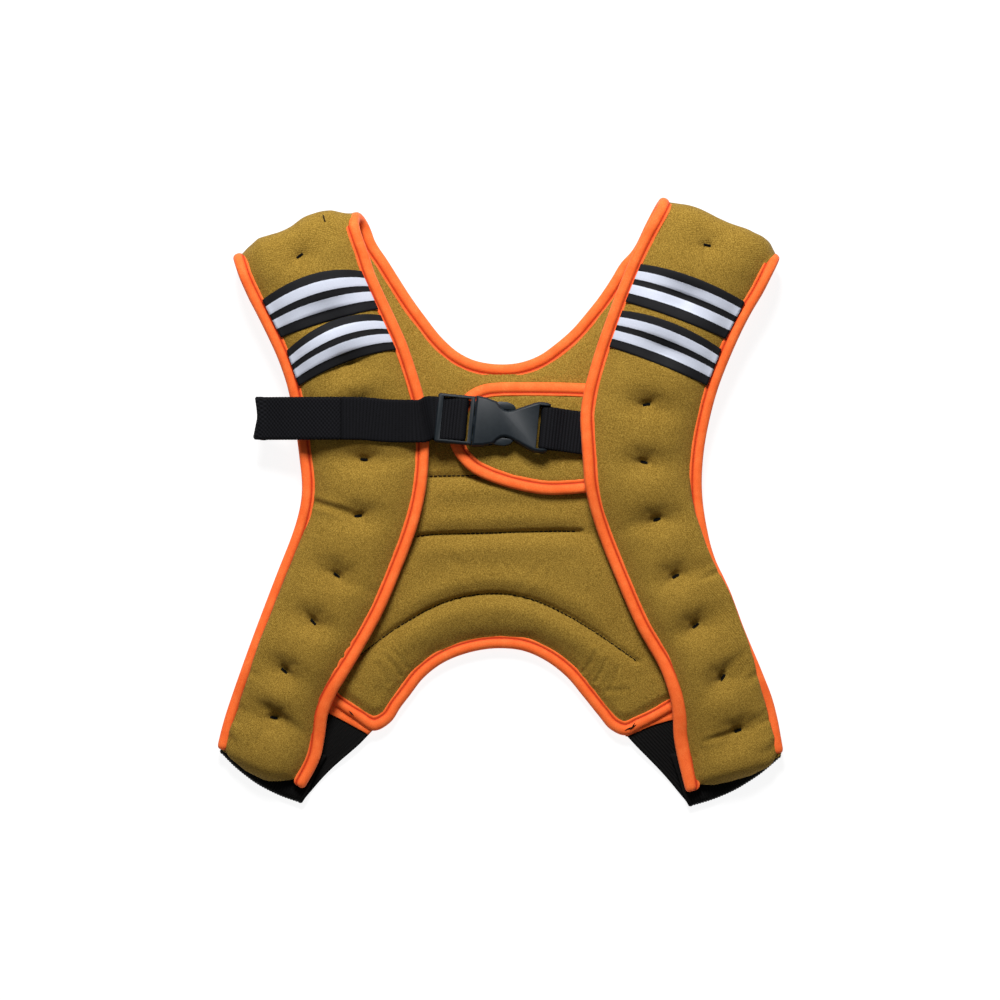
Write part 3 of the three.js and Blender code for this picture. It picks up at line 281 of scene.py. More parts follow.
def makeStripeFilm():
    # black tape with two pale films: edges of the films as shares of the tape's width
    edges = [0.182, 0.397, 0.544, 0.772]
    film = Finish("stripeFilm", Roughness=0.55, Specular_IOR_Level=0.2)
    across, length, _ = film.parts(film.uv("stripe"))
    fray = (film.noise(film.place(), 900, 2) - 0.5) * 0.012
    level = across + fray
    band = (level > edges[0]) * (level < edges[1]) + (level > edges[2]) * (level < edges[3])
    grain = film.noise(film.place(), 1600, 2)
    weave = (length * (2 * math.pi / 0.0011)).wave() * (across * (2 * math.pi / 0.035)).wave()
    blackTone = film.mix((grain * 0.8 + weave * 0.08).held(), (0.003, 0.003, 0.004), (0.012, 0.012, 0.014))
    paleTone = film.mix((grain * 0.9).held(), (0.46, 0.49, 0.58), (0.62, 0.65, 0.74))
    film.feed("Base Color", film.mix(band, blackTone, paleTone))
    film.feed("Roughness", 0.75 - band * 0.28)
    film.feed("Normal", film.bump(grain * 0.4 + weave * 0.3 + band * 1.0, 0.35, 0.00025))
    return film.material


def makeMoulding():
    plastic = Finish("mouldedPlastic", Roughness=0.42, Specular_IOR_Level=0.2)
    place = plastic.place()
    grain = plastic.noise(place, 2600, 2)
    scuff = plastic.noise(place, 260, 4, 0.7)
    colour = plastic.mix(scuff, (0.0055, 0.0085, 0.0110), (0.0105, 0.0150, 0.0195))
    plastic.feed("Base Color", colour)
    plastic.feed("Roughness", 0.36 + scuff * 0.16)
    plastic.feed("Normal", plastic.bump(grain, 0.22, 0.00012))
    return plastic.material


def makeThread(name, colour, glow):
    thread = Finish(name, Roughness=0.75, Specular_IOR_Level=0.06)
    twist = thread.noise(thread.place(), 3800, 2)
    thread.feed("Base Color", thread.mix(twist, colour, glow))
    thread.feed("Normal", thread.bump(twist, 0.4, 0.0001))
    return thread.material


knitCloth = makeKnit("oliveKnit", True)
knitFlat = makeKnit("oliveKnitFlat", False)
bindingCloth = makeTapeCloth("orangeBinding", True)
elasticCloth = makeWebbingCloth("ribbedElastic", 0.0019, False, (0.0095, 0.009, 0.0085), (0.001, 0.001, 0.001))
webCloth = makeWebbingCloth("blackWebbing", 0.0023, True, (0.0095, 0.0095, 0.012), (0.001, 0.001, 0.0013))
stripeFilm = makeStripeFilm()
mouldedPlastic = makeMoulding()
blackThread = makeThread("blackThread", (0.002, 0.002, 0.002), (0.007, 0.007, 0.007))
orangeThread = makeThread("orangeThread", (0.42, 0.035, 0.009), (0.62, 0.085, 0.02))
print("finishes ready")

# Reading the cross sections of a swept CAD piece


def ringsOf(node, count):
    # every ring of a sweep, in order, each ring turned to match the one before it
    shape = bmesh.new()
    shape.from_mesh(nodes[node].data)
    bmesh.ops.remove_doubles(shape, verts=shape.verts, dist=2e-6)
    shape.normal_update()
    for likeness in (0.75, 0.9, 0.5, 0.97, 0.3):
        visited = set()
        for first in shape.faces:
            if first in visited:
                continue
            group, stack = {first}, [first]
            while stack:
                face = stack.pop()
                for edge in face.edges:
                    for other in edge.link_faces:
                        if other not in group and other.normal.dot(face.normal) > likeness:
                            group.add(other)
                            stack.append(other)
            visited |= group
            corners = {corner for face in group for corner in face.verts}
            if len(group) != count - 2 or len(corners) != count:
                continue
            rings = peel(corners, group, count)
            if rings:
                points = np.array([[tuple(corner.co) for corner in ring] for ring in rings])
                shape.free()
                return points
    shape.free()
    raise ValueError("no rings in " + node)


def walkRing(layer):
    # order of a layer's corners round the body
    links = {corner: [] for corner in layer}
    for corner in layer:
        for edge in corner.link_edges:
            other = edge.other_vert(corner)
            if other in links and any(any(c not in links for c in face.verts) for face in edge.link_faces):
                links[corner].append(other)
    start = next(iter(layer))
    order, last = [start], None
    while len(order) < len(links):
        options = [c for c in links[order[-1]] if c is not last and c not in order]
        if not options:
            return None
        last = order[-1]
        order.append(options[0])
    return order


def peel(corners, group, count):
    ring = walkRing(corners)
    if not ring:
        return None
    rings, used = [ring], set(corners)
    while True:
        layer = {edge.other_vert(c) for c in rings[-1] for edge in c.link_edges} - used
        if not layer:
            return rings if len(rings) > 1 else None
        if len(layer) != count:
            return None
        ring = walkRing(layer)
        if not ring:
            return None
        old = np.array([tuple(c.co) for c in rings[-1]])
        new = np.array([tuple(c.co) for c in ring])
        best = None
        for way in (1, -1):
            for shift in range(count):
                order = [(shift + way * k) % count for k in range(count)]
                cost = np.linalg.norm(old - new[order], axis=1).sum()
                if best is None or cost < best[0]:
                    best = (cost, order)
        rings.append([ring[k] for k in best[1]])
        used |= layer


# Smooth curves through rows of points


def slopes(values, at):
    steps = np.diff(at)
    shape = (-1,) + (1,) * (values.ndim - 1)
    chord = np.diff(values, axis=0) / steps.reshape(shape)
    inner = (steps[:-1].reshape(shape) * chord[1:] + steps[1:].reshape(shape) * chord[:-1])
    inner = inner / (steps[:-1] + steps[1:]).reshape(shape)
    return np.concatenate([chord[:1], inner, chord[-1:]])


def through(values, at, wanted):
    # smooth values at the wanted places, from rows of values at known places
    tangent = slopes(values, at)
    left = np.clip(np.searchsorted(at, wanted, side="right") - 1, 0, len(at) - 2)
    step = at[left + 1] - at[left]
    t = (wanted - at[left]) / step
    shape = (-1,) + (1,) * (values.ndim - 1)
    t, step = t.reshape(shape), step.reshape(shape)
    a, b = values[left], values[left + 1]
    ma, mb = tangent[left] * step, tangent[left + 1] * step
    return (a * (2 * t**3 - 3 * t**2 + 1) + ma * (t**3 - 2 * t**2 + t)
            + b * (3 * t**2 - 2 * t**3) + mb * (t**3 - t**2))


def lengthsOf(points):
    return np.concatenate([[0], np.cumsum(np.linalg.norm(np.diff(points, axis=0), axis=1))])


def evenly(total, spacing):
    return np.linspace(0, total, max(2, int(round(total / spacing)) + 1))


def unit(vectors):
    return vectors / np.maximum(np.linalg.norm(vectors, axis=-1, keepdims=True), 1e-12)


def softNoise(points, scale, seed):
    # gentle bumps between -1 and 1 at each point
    shift = Vector((seed * 3.7, seed * 1.3, -seed * 2.1))
    return np.array([noise.noise(Vector(point) * scale + shift) for point in points.reshape(-1, 3)]).reshape(points.shape[:-1])


# Turning grids of points into pieces


def meshPiece(name, points, faces, material, smooth=True):
    data = bpy.data.meshes.new(name)
    data.from_pydata([tuple(p) for p in points], [], faces)
    data.validate()
    data.update()
    if smooth:
        data.shade_smooth()
    piece = bpy.data.objects.new(name, data)
    bpy.context.scene.collection.objects.link(piece)
    data.materials.append(material)
    return piece


def tubeFaces(rows, count):
    faces = []
    for r in range(rows - 1):
        for k in range(count):
            n = (k + 1) % count
            faces.append((r * count + k, r * count + n, (r + 1) * count + n, (r + 1) * count + k))
    return faces


def endFaces(rows, count):
    # both ends of a sweep, closed with strips between its upper and lower halves
    faces = []
    for base, flip in ((0, False), ((rows - 1) * count, True)):
        for k in range(count // 2 - 1):
            a, b = base + k, base + k + 1
            c, d = base + count - 2 - k, base + count - 1 - k
            faces.append((a, d, c, b) if flip else (a, b, c, d))
    return faces


def faceOut(piece):
    shape = bmesh.new()
    shape.from_mesh(piece.data)
    bmesh.ops.recalc_face_normals(shape, faces=shape.faces)
    if shape.calc_volume(signed=True) < 0:
        bmesh.ops.reverse_faces(shape, faces=shape.faces)
    shape.to_mesh(piece.data)
    shape.free()


def putUv(piece, name, values):
    # one pair of values for each point of the mesh
    layer = piece.data.uv_layers.new(name=name)
    corners = np.zeros(len(piece.data.loops), dtype=np.int32)
    piece.data.loops.foreach_get("vertex_index", corners)
    layer.data.foreach_set("uv", np.asarray(values, dtype=np.float32)[corners].ravel())


def putAttribute(piece, name, values):
    layer = piece.data.attributes.new(name, "FLOAT", "POINT")
    layer.data.foreach_set("value", np.asarray(values, dtype=np.float32))


def sweepPiece(name, rings, material, along, around):
    # closed sweep; along and around are the lengths that the weave follows
    rows, count = rings.shape[:2]
    piece = meshPiece(name, rings.reshape(-1, 3), tubeFaces(rows, count) + endFaces(rows, count), material)
    weave = np.stack([np.broadcast_to(around, (rows, count)), np.broadcast_to(along[:, None], (rows, count))], axis=-1)
    putUv(piece, "weave", weave.reshape(-1, 2))
    faceOut(piece)
    return piece


def pointsOf(piece):
    values = np.zeros(len(piece.data.vertices) * 3)
    piece.data.vertices.foreach_get("co", values)
    return values.reshape(-1, 3)


def setPoints(piece, points):
    piece.data.vertices.foreach_set("co", np.ascontiguousarray(points).ravel())
    piece.data.update()


def normalsOf(piece):
    values = np.zeros(len(piece.data.vertices) * 3)
    piece.data.vertices.foreach_get("normal", values)
    return values.reshape(-1, 3)


def useModifier(piece, kind, **settings):
    bpy.ops.object.select_all(action="DESELECT")
    bpy.context.view_layer.objects.active = piece
    piece.select_set(True)
    modifier = piece.modifiers.new(kind.lower(), kind)
    for key, value in settings.items():
        setattr(modifier, key, value)
    bpy.ops.object.modifier_apply(modifier=modifier.name)
    piece.select_set(False)


def surfaceOf(piece):
    shape = bmesh.new()
    shape.from_mesh(piece.data)
    tree = BVHTree.FromBMesh(shape)
    shape.free()
    return tree


def place(pixelX, pixelY):
    # a place in the photograph, 0.7 mm to the pixel, on the part
    return np.array([(pixelX - 500.5) * 0.0007 + middle[0], (504 - pixelY) * 0.0007 + middle[1]])


def puff(piece, pinned, pressure, cap, frames=18):
    # cloth simulation with the sewn places held, its movement capped and applied
    before = pointsOf(piece)
    group = piece.vertex_groups.new(name="sewn")
    for index in np.nonzero(pinned > 0.01)[0]:
        group.add([int(index)], float(pinned[index]), "REPLACE")
    modifier = piece.modifiers.new("cloth", "CLOTH")
    sim = modifier.settings
    sim.quality = 4
    sim.mass = 0.35
    sim.tension_stiffness = sim.compression_stiffness = 12
    sim.shear_stiffness = 6
    sim.bending_stiffness = 0.6
    sim.use_pressure = True
    sim.uniform_pressure_force = pressure
    sim.vertex_group_mass = "sewn"
    sim.effector_weights.gravity = 0
    modifier.point_cache.frame_start = 1
    modifier.point_cache.frame_end = frames
    for step in range(1, frames + 1):
        bpy.context.scene.frame_set(step)
    seen = piece.evaluated_get(bpy.context.evaluated_depsgraph_get())
    after = np.zeros(len(before) * 3)
    seen.data.vertices.foreach_get("co", after)
    piece.modifiers.remove(modifier)
    bpy.context.scene.frame_set(1)
    move = after.reshape(-1, 3) - before
    size = np.linalg.norm(move, axis=1, keepdims=True)
    move *= np.minimum(1, cap / np.maximum(size, 1e-9))
    setPoints(piece, before + np.nan_to_num(move))
    piece.vertex_groups.remove(group)


def threads(name, runs, material, radius, sides=6):
    # short lengths of thread: each run is a list of points along one stitch
    points, faces = [], []
    for run in runs:
        line = np.array(run, dtype=float)
        tangent = unit(np.gradient(line, axis=0))
        side = unit(np.cross(tangent, np.array([0.0, 0.0, 1.0]) + 1e-6))
        rise = np.cross(side, tangent)
        base = len(points)
        last = len(line) - 1
        for k, centre in enumerate(line):
            thick = radius * (0.45 if k in (0, last) else 1)
            for s in range(sides):
                angle = 2 * math.pi * s / sides
                points.append(centre + (side[k] * math.cos(angle) + rise[k] * math.sin(angle)) * thick)
        for k in range(last):
            for s in range(sides):
                n = (s + 1) % sides
                a, b = base + k * sides, base + (k + 1) * sides
                faces.append((a + s, a + n, b + n, b + s))
        faces.append(tuple(base + s for s in reversed(range(sides))))
        faces.append(tuple(base + last * sides + s for s in range(sides)))
    piece = meshPiece(name, points, faces, material)
    faceOut(piece)
    return piece


def finishPiece(piece, slot, *replaced):
    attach(piece, "root")
    if replaced:
        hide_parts(*replaced)


# Front panels

panel = {
    "rowSpacing": 0.003, "across": 31, "underside": 31,
    "lumpHeight": 0.0007, "lumpScale": 34, "rippleHeight": 0.0002, "rippleScale": 120,
    "pitDepth": 0.0040, "pitWidth": 0.0019, "pitLength": 0.0040,
    "dimpleDepth": 0.0018, "dimpleRadius": 0.011, "lip": 0.0062, "pressure": 4.0, "cap": 0.0022,
}
# tacks: place in the photograph, and the way the thread lies, in degrees
tacksLeft = [
    (300.4, 256.5, 35), (330, 315, 0), (348, 362, 0), (361, 405, 0), (364.2, 459.7, -8),
    (358.4, 516, 5), (336.8, 575.3, -35), (313.3, 622.2, -48), (284.2, 671, -42), (273.7, 718, -10),
]
tacksRight = [
    (706.6, 246, -12), (683, 300, 0), (663, 352, 0), (646.4, 404.8, 10), (643.9, 462.3, -10),
    (656.9, 519.6, 20), (675.8, 576.2, 30), (695.8, 625.8, 40), (723, 677.7, 58), (738.3, 730.8, 22),
]
# creases: two ends in the photograph, depth and half width in metres
creasesLeft = [
    (307, 500, 352, 514, 0.0016, 0.0022), (262, 705, 303, 732, 0.0008, 0.0028),
    (298.5, 262, 303.3, 281.4, 0.0007, 0.0012), (368, 463, 425, 455, 0.0005, 0.004),
    (341, 582, 396, 600, 0.0005, 0.004), (272, 722, 247, 752, 0.0007, 0.003),
]
creasesRight = [
    (706, 741, 733, 733, 0.0012, 0.0018), (750, 724, 770, 712, 0.0008, 0.003),
    (650, 520, 612, 535, 0.0005, 0.004), (684, 574, 728, 560, 0.0005, 0.004),
    (727, 668, 747, 650, 0.0006, 0.003),
]


# outlines of the folded shoulders and of the lower ends, in the photograph, and the way each faces
endsLeft = [
    ([(245, 249), (257, 239), (267, 235.5), (280, 232), (292, 226), (303, 217), (315, 212), (330, 208.5),
      (342, 211), (351, 212)], (-0.29, 0.956)),
    ([(218, 748.5), (229, 760), (240, 770), (254, 777), (267, 782), (282, 783), (298.5, 781)], (-0.38, -0.92)),
]
endsRight = [
    ([(672, 202), (679, 203.5), (691, 205), (703, 210), (716, 217), (730, 223), (747, 229), (762, 236),
      (772, 244), (774, 251)], (0.44, 0.90)),
    ([(784, 753), (774, 766), (757, 776), (729, 783), (691, 787)], (0.34, -0.94)),
]
# how far the filling hangs over the outer binding: height in the photograph, overhang in mm
bulgesLeft = [
    (500, 0), (545, 3.2), (600, 4.4), (650, 4.8), (690, 4.4), (712, 3.8), (735, 6.0), (750, 8.5), (765, 10),
]
bulgesRight = [
    (465, 0), (510, 4.0), (550, 9.0), (600, 11), (640, 10.5), (670, 7.6), (695, 5.0), (725, 5.6), (745, 8.5),
    (760, 10),
]


def smoothStep(value):
    value = np.clip(value, 0, 1)
    return value * value * (3 - 2 * value)


def matchEnd(points, pixels, way):
    # moves a rounded end so that its outline from above follows the photograph
    target = np.array([place(x, y) for x, y in pixels])
    centre = target.mean(axis=0)
    out = np.array(way) / np.linalg.norm(way)
    side = np.array([-out[1], out[0]])
    offset = points[:, :2] - centre
    across, far = offset @ side, offset @ out
    goalAt = (target - centre) @ side
    order = np.argsort(goalAt)
    goalAt, goal = goalAt[order], ((target - centre) @ out)[order]
    bins = np.linspace(goalAt[0], goalAt[-1], 30)
    rim = np.array([far[np.abs(across - spot) < 0.003].max() for spot in bins])
    push = np.clip(np.interp(bins, goalAt, goal) - rim, -0.004, 0.010)
    outside = np.maximum(goalAt[0] - across, across - goalAt[-1])
    fade = smoothStep(1 - outside / 0.005)
    weight = smoothStep((far - np.interp(across, bins, rim) + 0.024) / 0.022)
    points[:, :2] += out * (np.interp(across, bins, push) * weight * fade)[:, None]
    return points


def panelRows(node):
    rings = ringsOf(node, 16)
    first = rings[0]
    # the flattened edges are four millimetres thick, with eight more to the filling
    for way in (1, -1):
        for start in range(16):
            order = [(start + way * k) % 16 for k in range(16)]
            section = rings[:, order]
            gap = np.linalg.norm(section[5, 0] - section[5, 15]), np.linalg.norm(section[5, 8] - section[5, 9])
            slip = np.linalg.norm(section[5, 0] - section[5, 1]), np.linalg.norm(section[5, 8] - section[5, 7])
            if max(abs(gap[0] - 0.004), abs(gap[1] - 0.004)) < 0.0012 and max(abs(slip[0] - 0.008), abs(slip[1] - 0.008)) < 0.0012:
                if abs(section[5, 0, 0]) > abs(section[5, 8, 0]):
                    rows = section
    if rows[0, :, 1].mean() > rows[-1, :, 1].mean():
        rows = rows[::-1]
    return rows[:, :9], rows[:, 9:][:, ::-1]


def makePanel(node, tacks, creases, ends, bulges, seed):
    top, under = panelRows(node)
    at = lengthsOf((top[:, 4] + under[:, 3]) / 2)
    wanted = evenly(at[-1], panel["rowSpacing"])
    top, under = through(top, at, wanted), through(under, at, wanted)

    def across(rows, count):
        steps = lengthsOf(rows.mean(axis=0))
        share = 0.5 - 0.5 * np.cos(np.linspace(0, math.pi, count))
        share = 0.6 * np.linspace(0, 1, count) + 0.4 * share
        even = through(rows.transpose(1, 0, 2), steps, share * steps[-1])
        return even.transpose(1, 0, 2), share * steps[-1]

    top, spread = across(top, panel["across"])
    under, _ = across(under, panel["underside"])
    # the filling rises straight from the lip of the binding
    free = (spread > panel["lip"]) & (spread < spread[-1] - panel["lip"])
    for _ in range(14):
        eased = top.copy()
        eased[:, 1:-1] += 0.5 * ((top[:, :-2] + top[:, 2:]) / 2 - top[:, 1:-1])
        top = np.where(free[None, :, None], eased, top)
    out = unit((top[:, 0] - top[:, 8]) * [1, 1, 0])
    level = unit(np.cross(np.gradient(top[:, 15], axis=0), top[:, 20] - top[:, 10]))
    level *= np.sign((top[:, 15] - under[:, 15]) * level).sum(axis=1, keepdims=True).clip(-1, 1)
    shape = np.exp(-((spread - 0.0110) / 0.0062) ** 2) * smoothStep((spread - 0.0045) / 0.002)
    heights = [-place(0, y)[1] for y, _ in bulges]
    size = np.interp(-top[:, 0, 1], heights, [reach * mm for _, reach in bulges])
    size = np.convolve(np.pad(size, 5, mode="edge"), np.hanning(11) / np.hanning(11).sum(), mode="valid")
    top = top + (out * size[:, None])[:, None] * shape[None, :, None]
    top = top + (level * size[:, None])[:, None] * (shape * 0.22)[None, :, None]
    rings = np.concatenate([top, under[:, ::-1]], axis=1)
    around = np.concatenate([spread, spread[::-1] + 0.2])
    piece = sweepPiece(node + "_cloth", rings, knitCloth, wanted, around)
    points = pointsOf(piece)
    count = rings.shape[1]
    column = np.arange(len(points)) % count
    row = np.arange(len(points)) // count
    held = (column >= len(spread)) | ~np.append(free, np.zeros(len(under[0]), bool))[column]
    held = (held | (row < 1) | (row > len(rings) - 2)).astype(float)
    for x, y, _ in tacks:
        held = np.maximum(held, np.exp(-(np.linalg.norm(points[:, :2] - place(x, y), axis=1) / 0.005) ** 4))
    strapGap = np.abs(points[:, 1] - place(0, 420)[1])
    held = np.maximum(held, smoothStep((0.024 - strapGap) / 0.006))
    puff(piece, held, panel["pressure"], panel["cap"])
    points = pointsOf(piece)
    for pixels, way in ends:
        points = matchEnd(points, pixels, way)
    setPoints(piece, points)
    useModifier(piece, "SUBSURF", levels=1, render_levels=1)
    points, normals = pointsOf(piece), normalsOf(piece)
    push = softNoise(points, panel["lumpScale"], seed) * panel["lumpHeight"]
    push += softNoise(points, panel["rippleScale"], seed + 5) * panel["rippleHeight"]
    upward = np.clip(normals[:, 2] * 1.6, 0, 1)
    for pixelX, pixelY, turn in tacks:
        away = points[:, :2] - place(pixelX, pixelY)
        angle = math.radians(turn)
        longWay = away[:, 0] * math.cos(angle) + away[:, 1] * math.sin(angle)
        shortWay = -away[:, 0] * math.sin(angle) + away[:, 1] * math.cos(angle)
        pit = np.exp(-(longWay / panel["pitLength"]) ** 2 - (shortWay / panel["pitWidth"]) ** 2)
        dimple = np.exp(-(np.hypot(longWay, shortWay * 1.25) / panel["dimpleRadius"]) ** 2)
        push -= upward * (pit * panel["pitDepth"] + dimple * panel["dimpleDepth"])
        # small folds that the thread gathers
        spin, reach = np.arctan2(shortWay, longWay), np.hypot(longWay, shortWay)
        fan = np.exp(-((reach - 0.007) / 0.005) ** 2)
        push += upward * fan * 0.00028 * np.cos(spin * 5 + seed + pixelX)
    for x0, y0, x1, y1, depth, width in creases:
        start, end = place(x0, y0), place(x1, y1)
        run = end - start
        share = np.clip(((points[:, :2] - start) @ run) / (run @ run), 0, 1)
        gap = np.linalg.norm(points[:, :2] - (start + share[:, None] * run), axis=1)
        fade = np.sin(math.pi * np.clip(0.18 + 0.72 * share, 0, 1))
        ridge = 0.35 * np.exp(-((gap - 2 * width) / width) ** 2)
        push -= upward * depth * fade * (np.exp(-(gap / width) ** 2) - ridge)
    setPoints(piece, points + normals * push[:, None])
    finishPiece(piece, "olive_cloth", node)
    return piece


panelLeft = makePanel("front_panel_left", tacksLeft, creasesLeft, endsLeft, bulgesLeft, 1)
panelRight = makePanel("front_panel_right", tacksRight, creasesRight, endsRight, bulgesRight, 2)
print("front panels made")

# Back and buckle pad

back = {
    "voxel": 0.003, "pressure": 4.0, "cap": 0.0022, "seamDepth": 0.0032, "seamWidth": 0.0014, "fullness": 0.0020,
}
# seams sewn through the back, as places in the photograph
backSeams = [
    [(368, 476.5), (430, 476), (500, 475.5), (560, 476), (640, 477)],
    [(345, 556), (380, 541), (420, 536), (500, 533), (560, 531.3), (581, 531.5)],
    [(345, 668), (368, 649), (388, 634), (410, 620), (449, 601), (483, 594.4), (500, 594), (528, 598.6),
     (571, 617.5), (601.5, 636.4), (638, 662)],
]
backCreases = [
    (384, 655, 400, 676, 0.0008, 0.0016), (392, 650, 407, 668, 0.0006, 0.0014), (376, 664, 388, 684, 0.0006, 0.0016),
    (596, 652, 584, 672, 0.0007, 0.0016), (606, 660, 596, 682, 0.0008, 0.0016), (618, 668, 610, 690, 0.0006, 0.0016),
    (628, 690, 606, 692, 0.0005, 0.0020), (455, 560, 475, 585, 0.0003, 0.003), (540, 565, 520, 588, 0.0003, 0.003),
]


def linePoints(pixels, spacing):
    spots = np.array([place(x, y) for x, y in pixels])
    at = lengthsOf(spots)
    return through(spots, at, evenly(at[-1], spacing))


def distanceTo(line, points):
    best = np.full(len(points), 1.0)
    for a, b in zip(line[:-1], line[1:]):
        run = b - a
        share = np.clip(((points - a) @ run) / (run @ run), 0, 1)
        best = np.minimum(best, np.linalg.norm(points - (a + share[:, None] * run), axis=1))
    return best


def clothCopy(node, name, voxel):
    shape = bmesh.new()
    shape.from_mesh(nodes[node].data)
    bmesh.ops.remove_doubles(shape, verts=shape.verts, dist=2e-6)
    data = bpy.data.meshes.new(name)
    shape.to_mesh(data)
    shape.free()
    piece = bpy.data.objects.new(name, data)
    bpy.context.scene.collection.objects.link(piece)
    useModifier(piece, "REMESH", mode="VOXEL", voxel_size=voxel, adaptivity=0)
    useModifier(piece, "SMOOTH", factor=0.5, iterations=4)
    data.materials.clear()
    data.materials.append(knitFlat)
    data.shade_smooth()
    return piece


def makeBack():
    piece = clothCopy("back_panel", "back_panel_cloth", back["voxel"])
    points = pointsOf(piece)
    seams = [linePoints(pixels, 0.006) for pixels in backSeams]
    seamGap = np.min([distanceTo(line, points[:, :2]) for line in seams], axis=0)
    thin = np.clip((0.0098 - points[:, 2]) / 0.0012, 0, 1)
    held = np.maximum(np.maximum(np.exp(-(seamGap / 0.0045) ** 2), thin), points[:, 2] < 0.004)
    puff(piece, held, back["pressure"], back["cap"])
    useModifier(piece, "SUBSURF", levels=1, render_levels=1)
    points, normals = pointsOf(piece), normalsOf(piece)
    upward = np.clip(normals[:, 2] * 1.5, 0, 1)
    push = softNoise(points, 30, 9) * 0.0006 + softNoise(points, 95, 4) * 0.00025
    inView = 0.055 + np.clip(place(0, 500)[1] - points[:, 1], -0.05, 0.11) * 0.3
    inView = smoothStep((inView - np.abs(points[:, 0])) / 0.02)
    for line in seams:
        gap = distanceTo(line, points[:, :2])
        push -= back["seamDepth"] * np.exp(-(gap / back["seamWidth"]) ** 2)
        push += back["fullness"] * inView * np.exp(-((gap - 0.010) / 0.0075) ** 2)
    for x0, y0, x1, y1, depth, width in backCreases:
        line = np.array([place(x0, y0), place((x0 + x1) / 2 + 1.5, (y0 + y1) / 2), place(x1, y1)])
        gap = distanceTo(line, points[:, :2])
        push += depth * (np.exp(-((gap - 1.6 * width) / width) ** 2) * 0.6 - np.exp(-(gap / width) ** 2))
    setPoints(piece, points + normals * (push * upward)[:, None])
    finishPiece(piece, "olive_cloth", "back_panel")
    return piece, seams


backCloth, backLines = makeBack()
print("back made")


def makePad():
    piece = clothCopy("buckle_pad", "buckle_pad_cloth", 0.0016)
    points, normals = pointsOf(piece), normalsOf(piece)
    push = softNoise(points, 55, 3) * 0.00045 + softNoise(points, 160, 6) * 0.00012
    setPoints(piece, points + normals * (push * (np.abs(normals[:, 2]) > 0.3))[:, None])
    useModifier(piece, "SUBSURF", levels=1, render_levels=1)
    finishPiece(piece, "olive_cloth", "buckle_pad")
    return piece


padCloth = makePad()
print("pad made")

# Bindings: a rolled tape with its stitched flange

# half the binding's section: across and up in mm, and how much painted groove shade each point gets
rollTop = [(6.45, 2.30, 0), (6.5, 2.62, 0), (6.25, 2.92, 0), (5.75, 3.0, 0.05), (5.25, 2.86, 0.35), (4.85, 2.58, 1.0),
           (4.45, 2.62, 1.0), (4.1, 3.0, 0.55), (3.6, 3.52, 0.12), (2.7, 3.98, 0), (1.6, 4.12, 0), (0.5, 3.92, 0),
           (-0.5, 3.38, 0), (-1.15, 2.55, 0), (-1.5, 1.4, 0), (-1.62, 0, 0)]


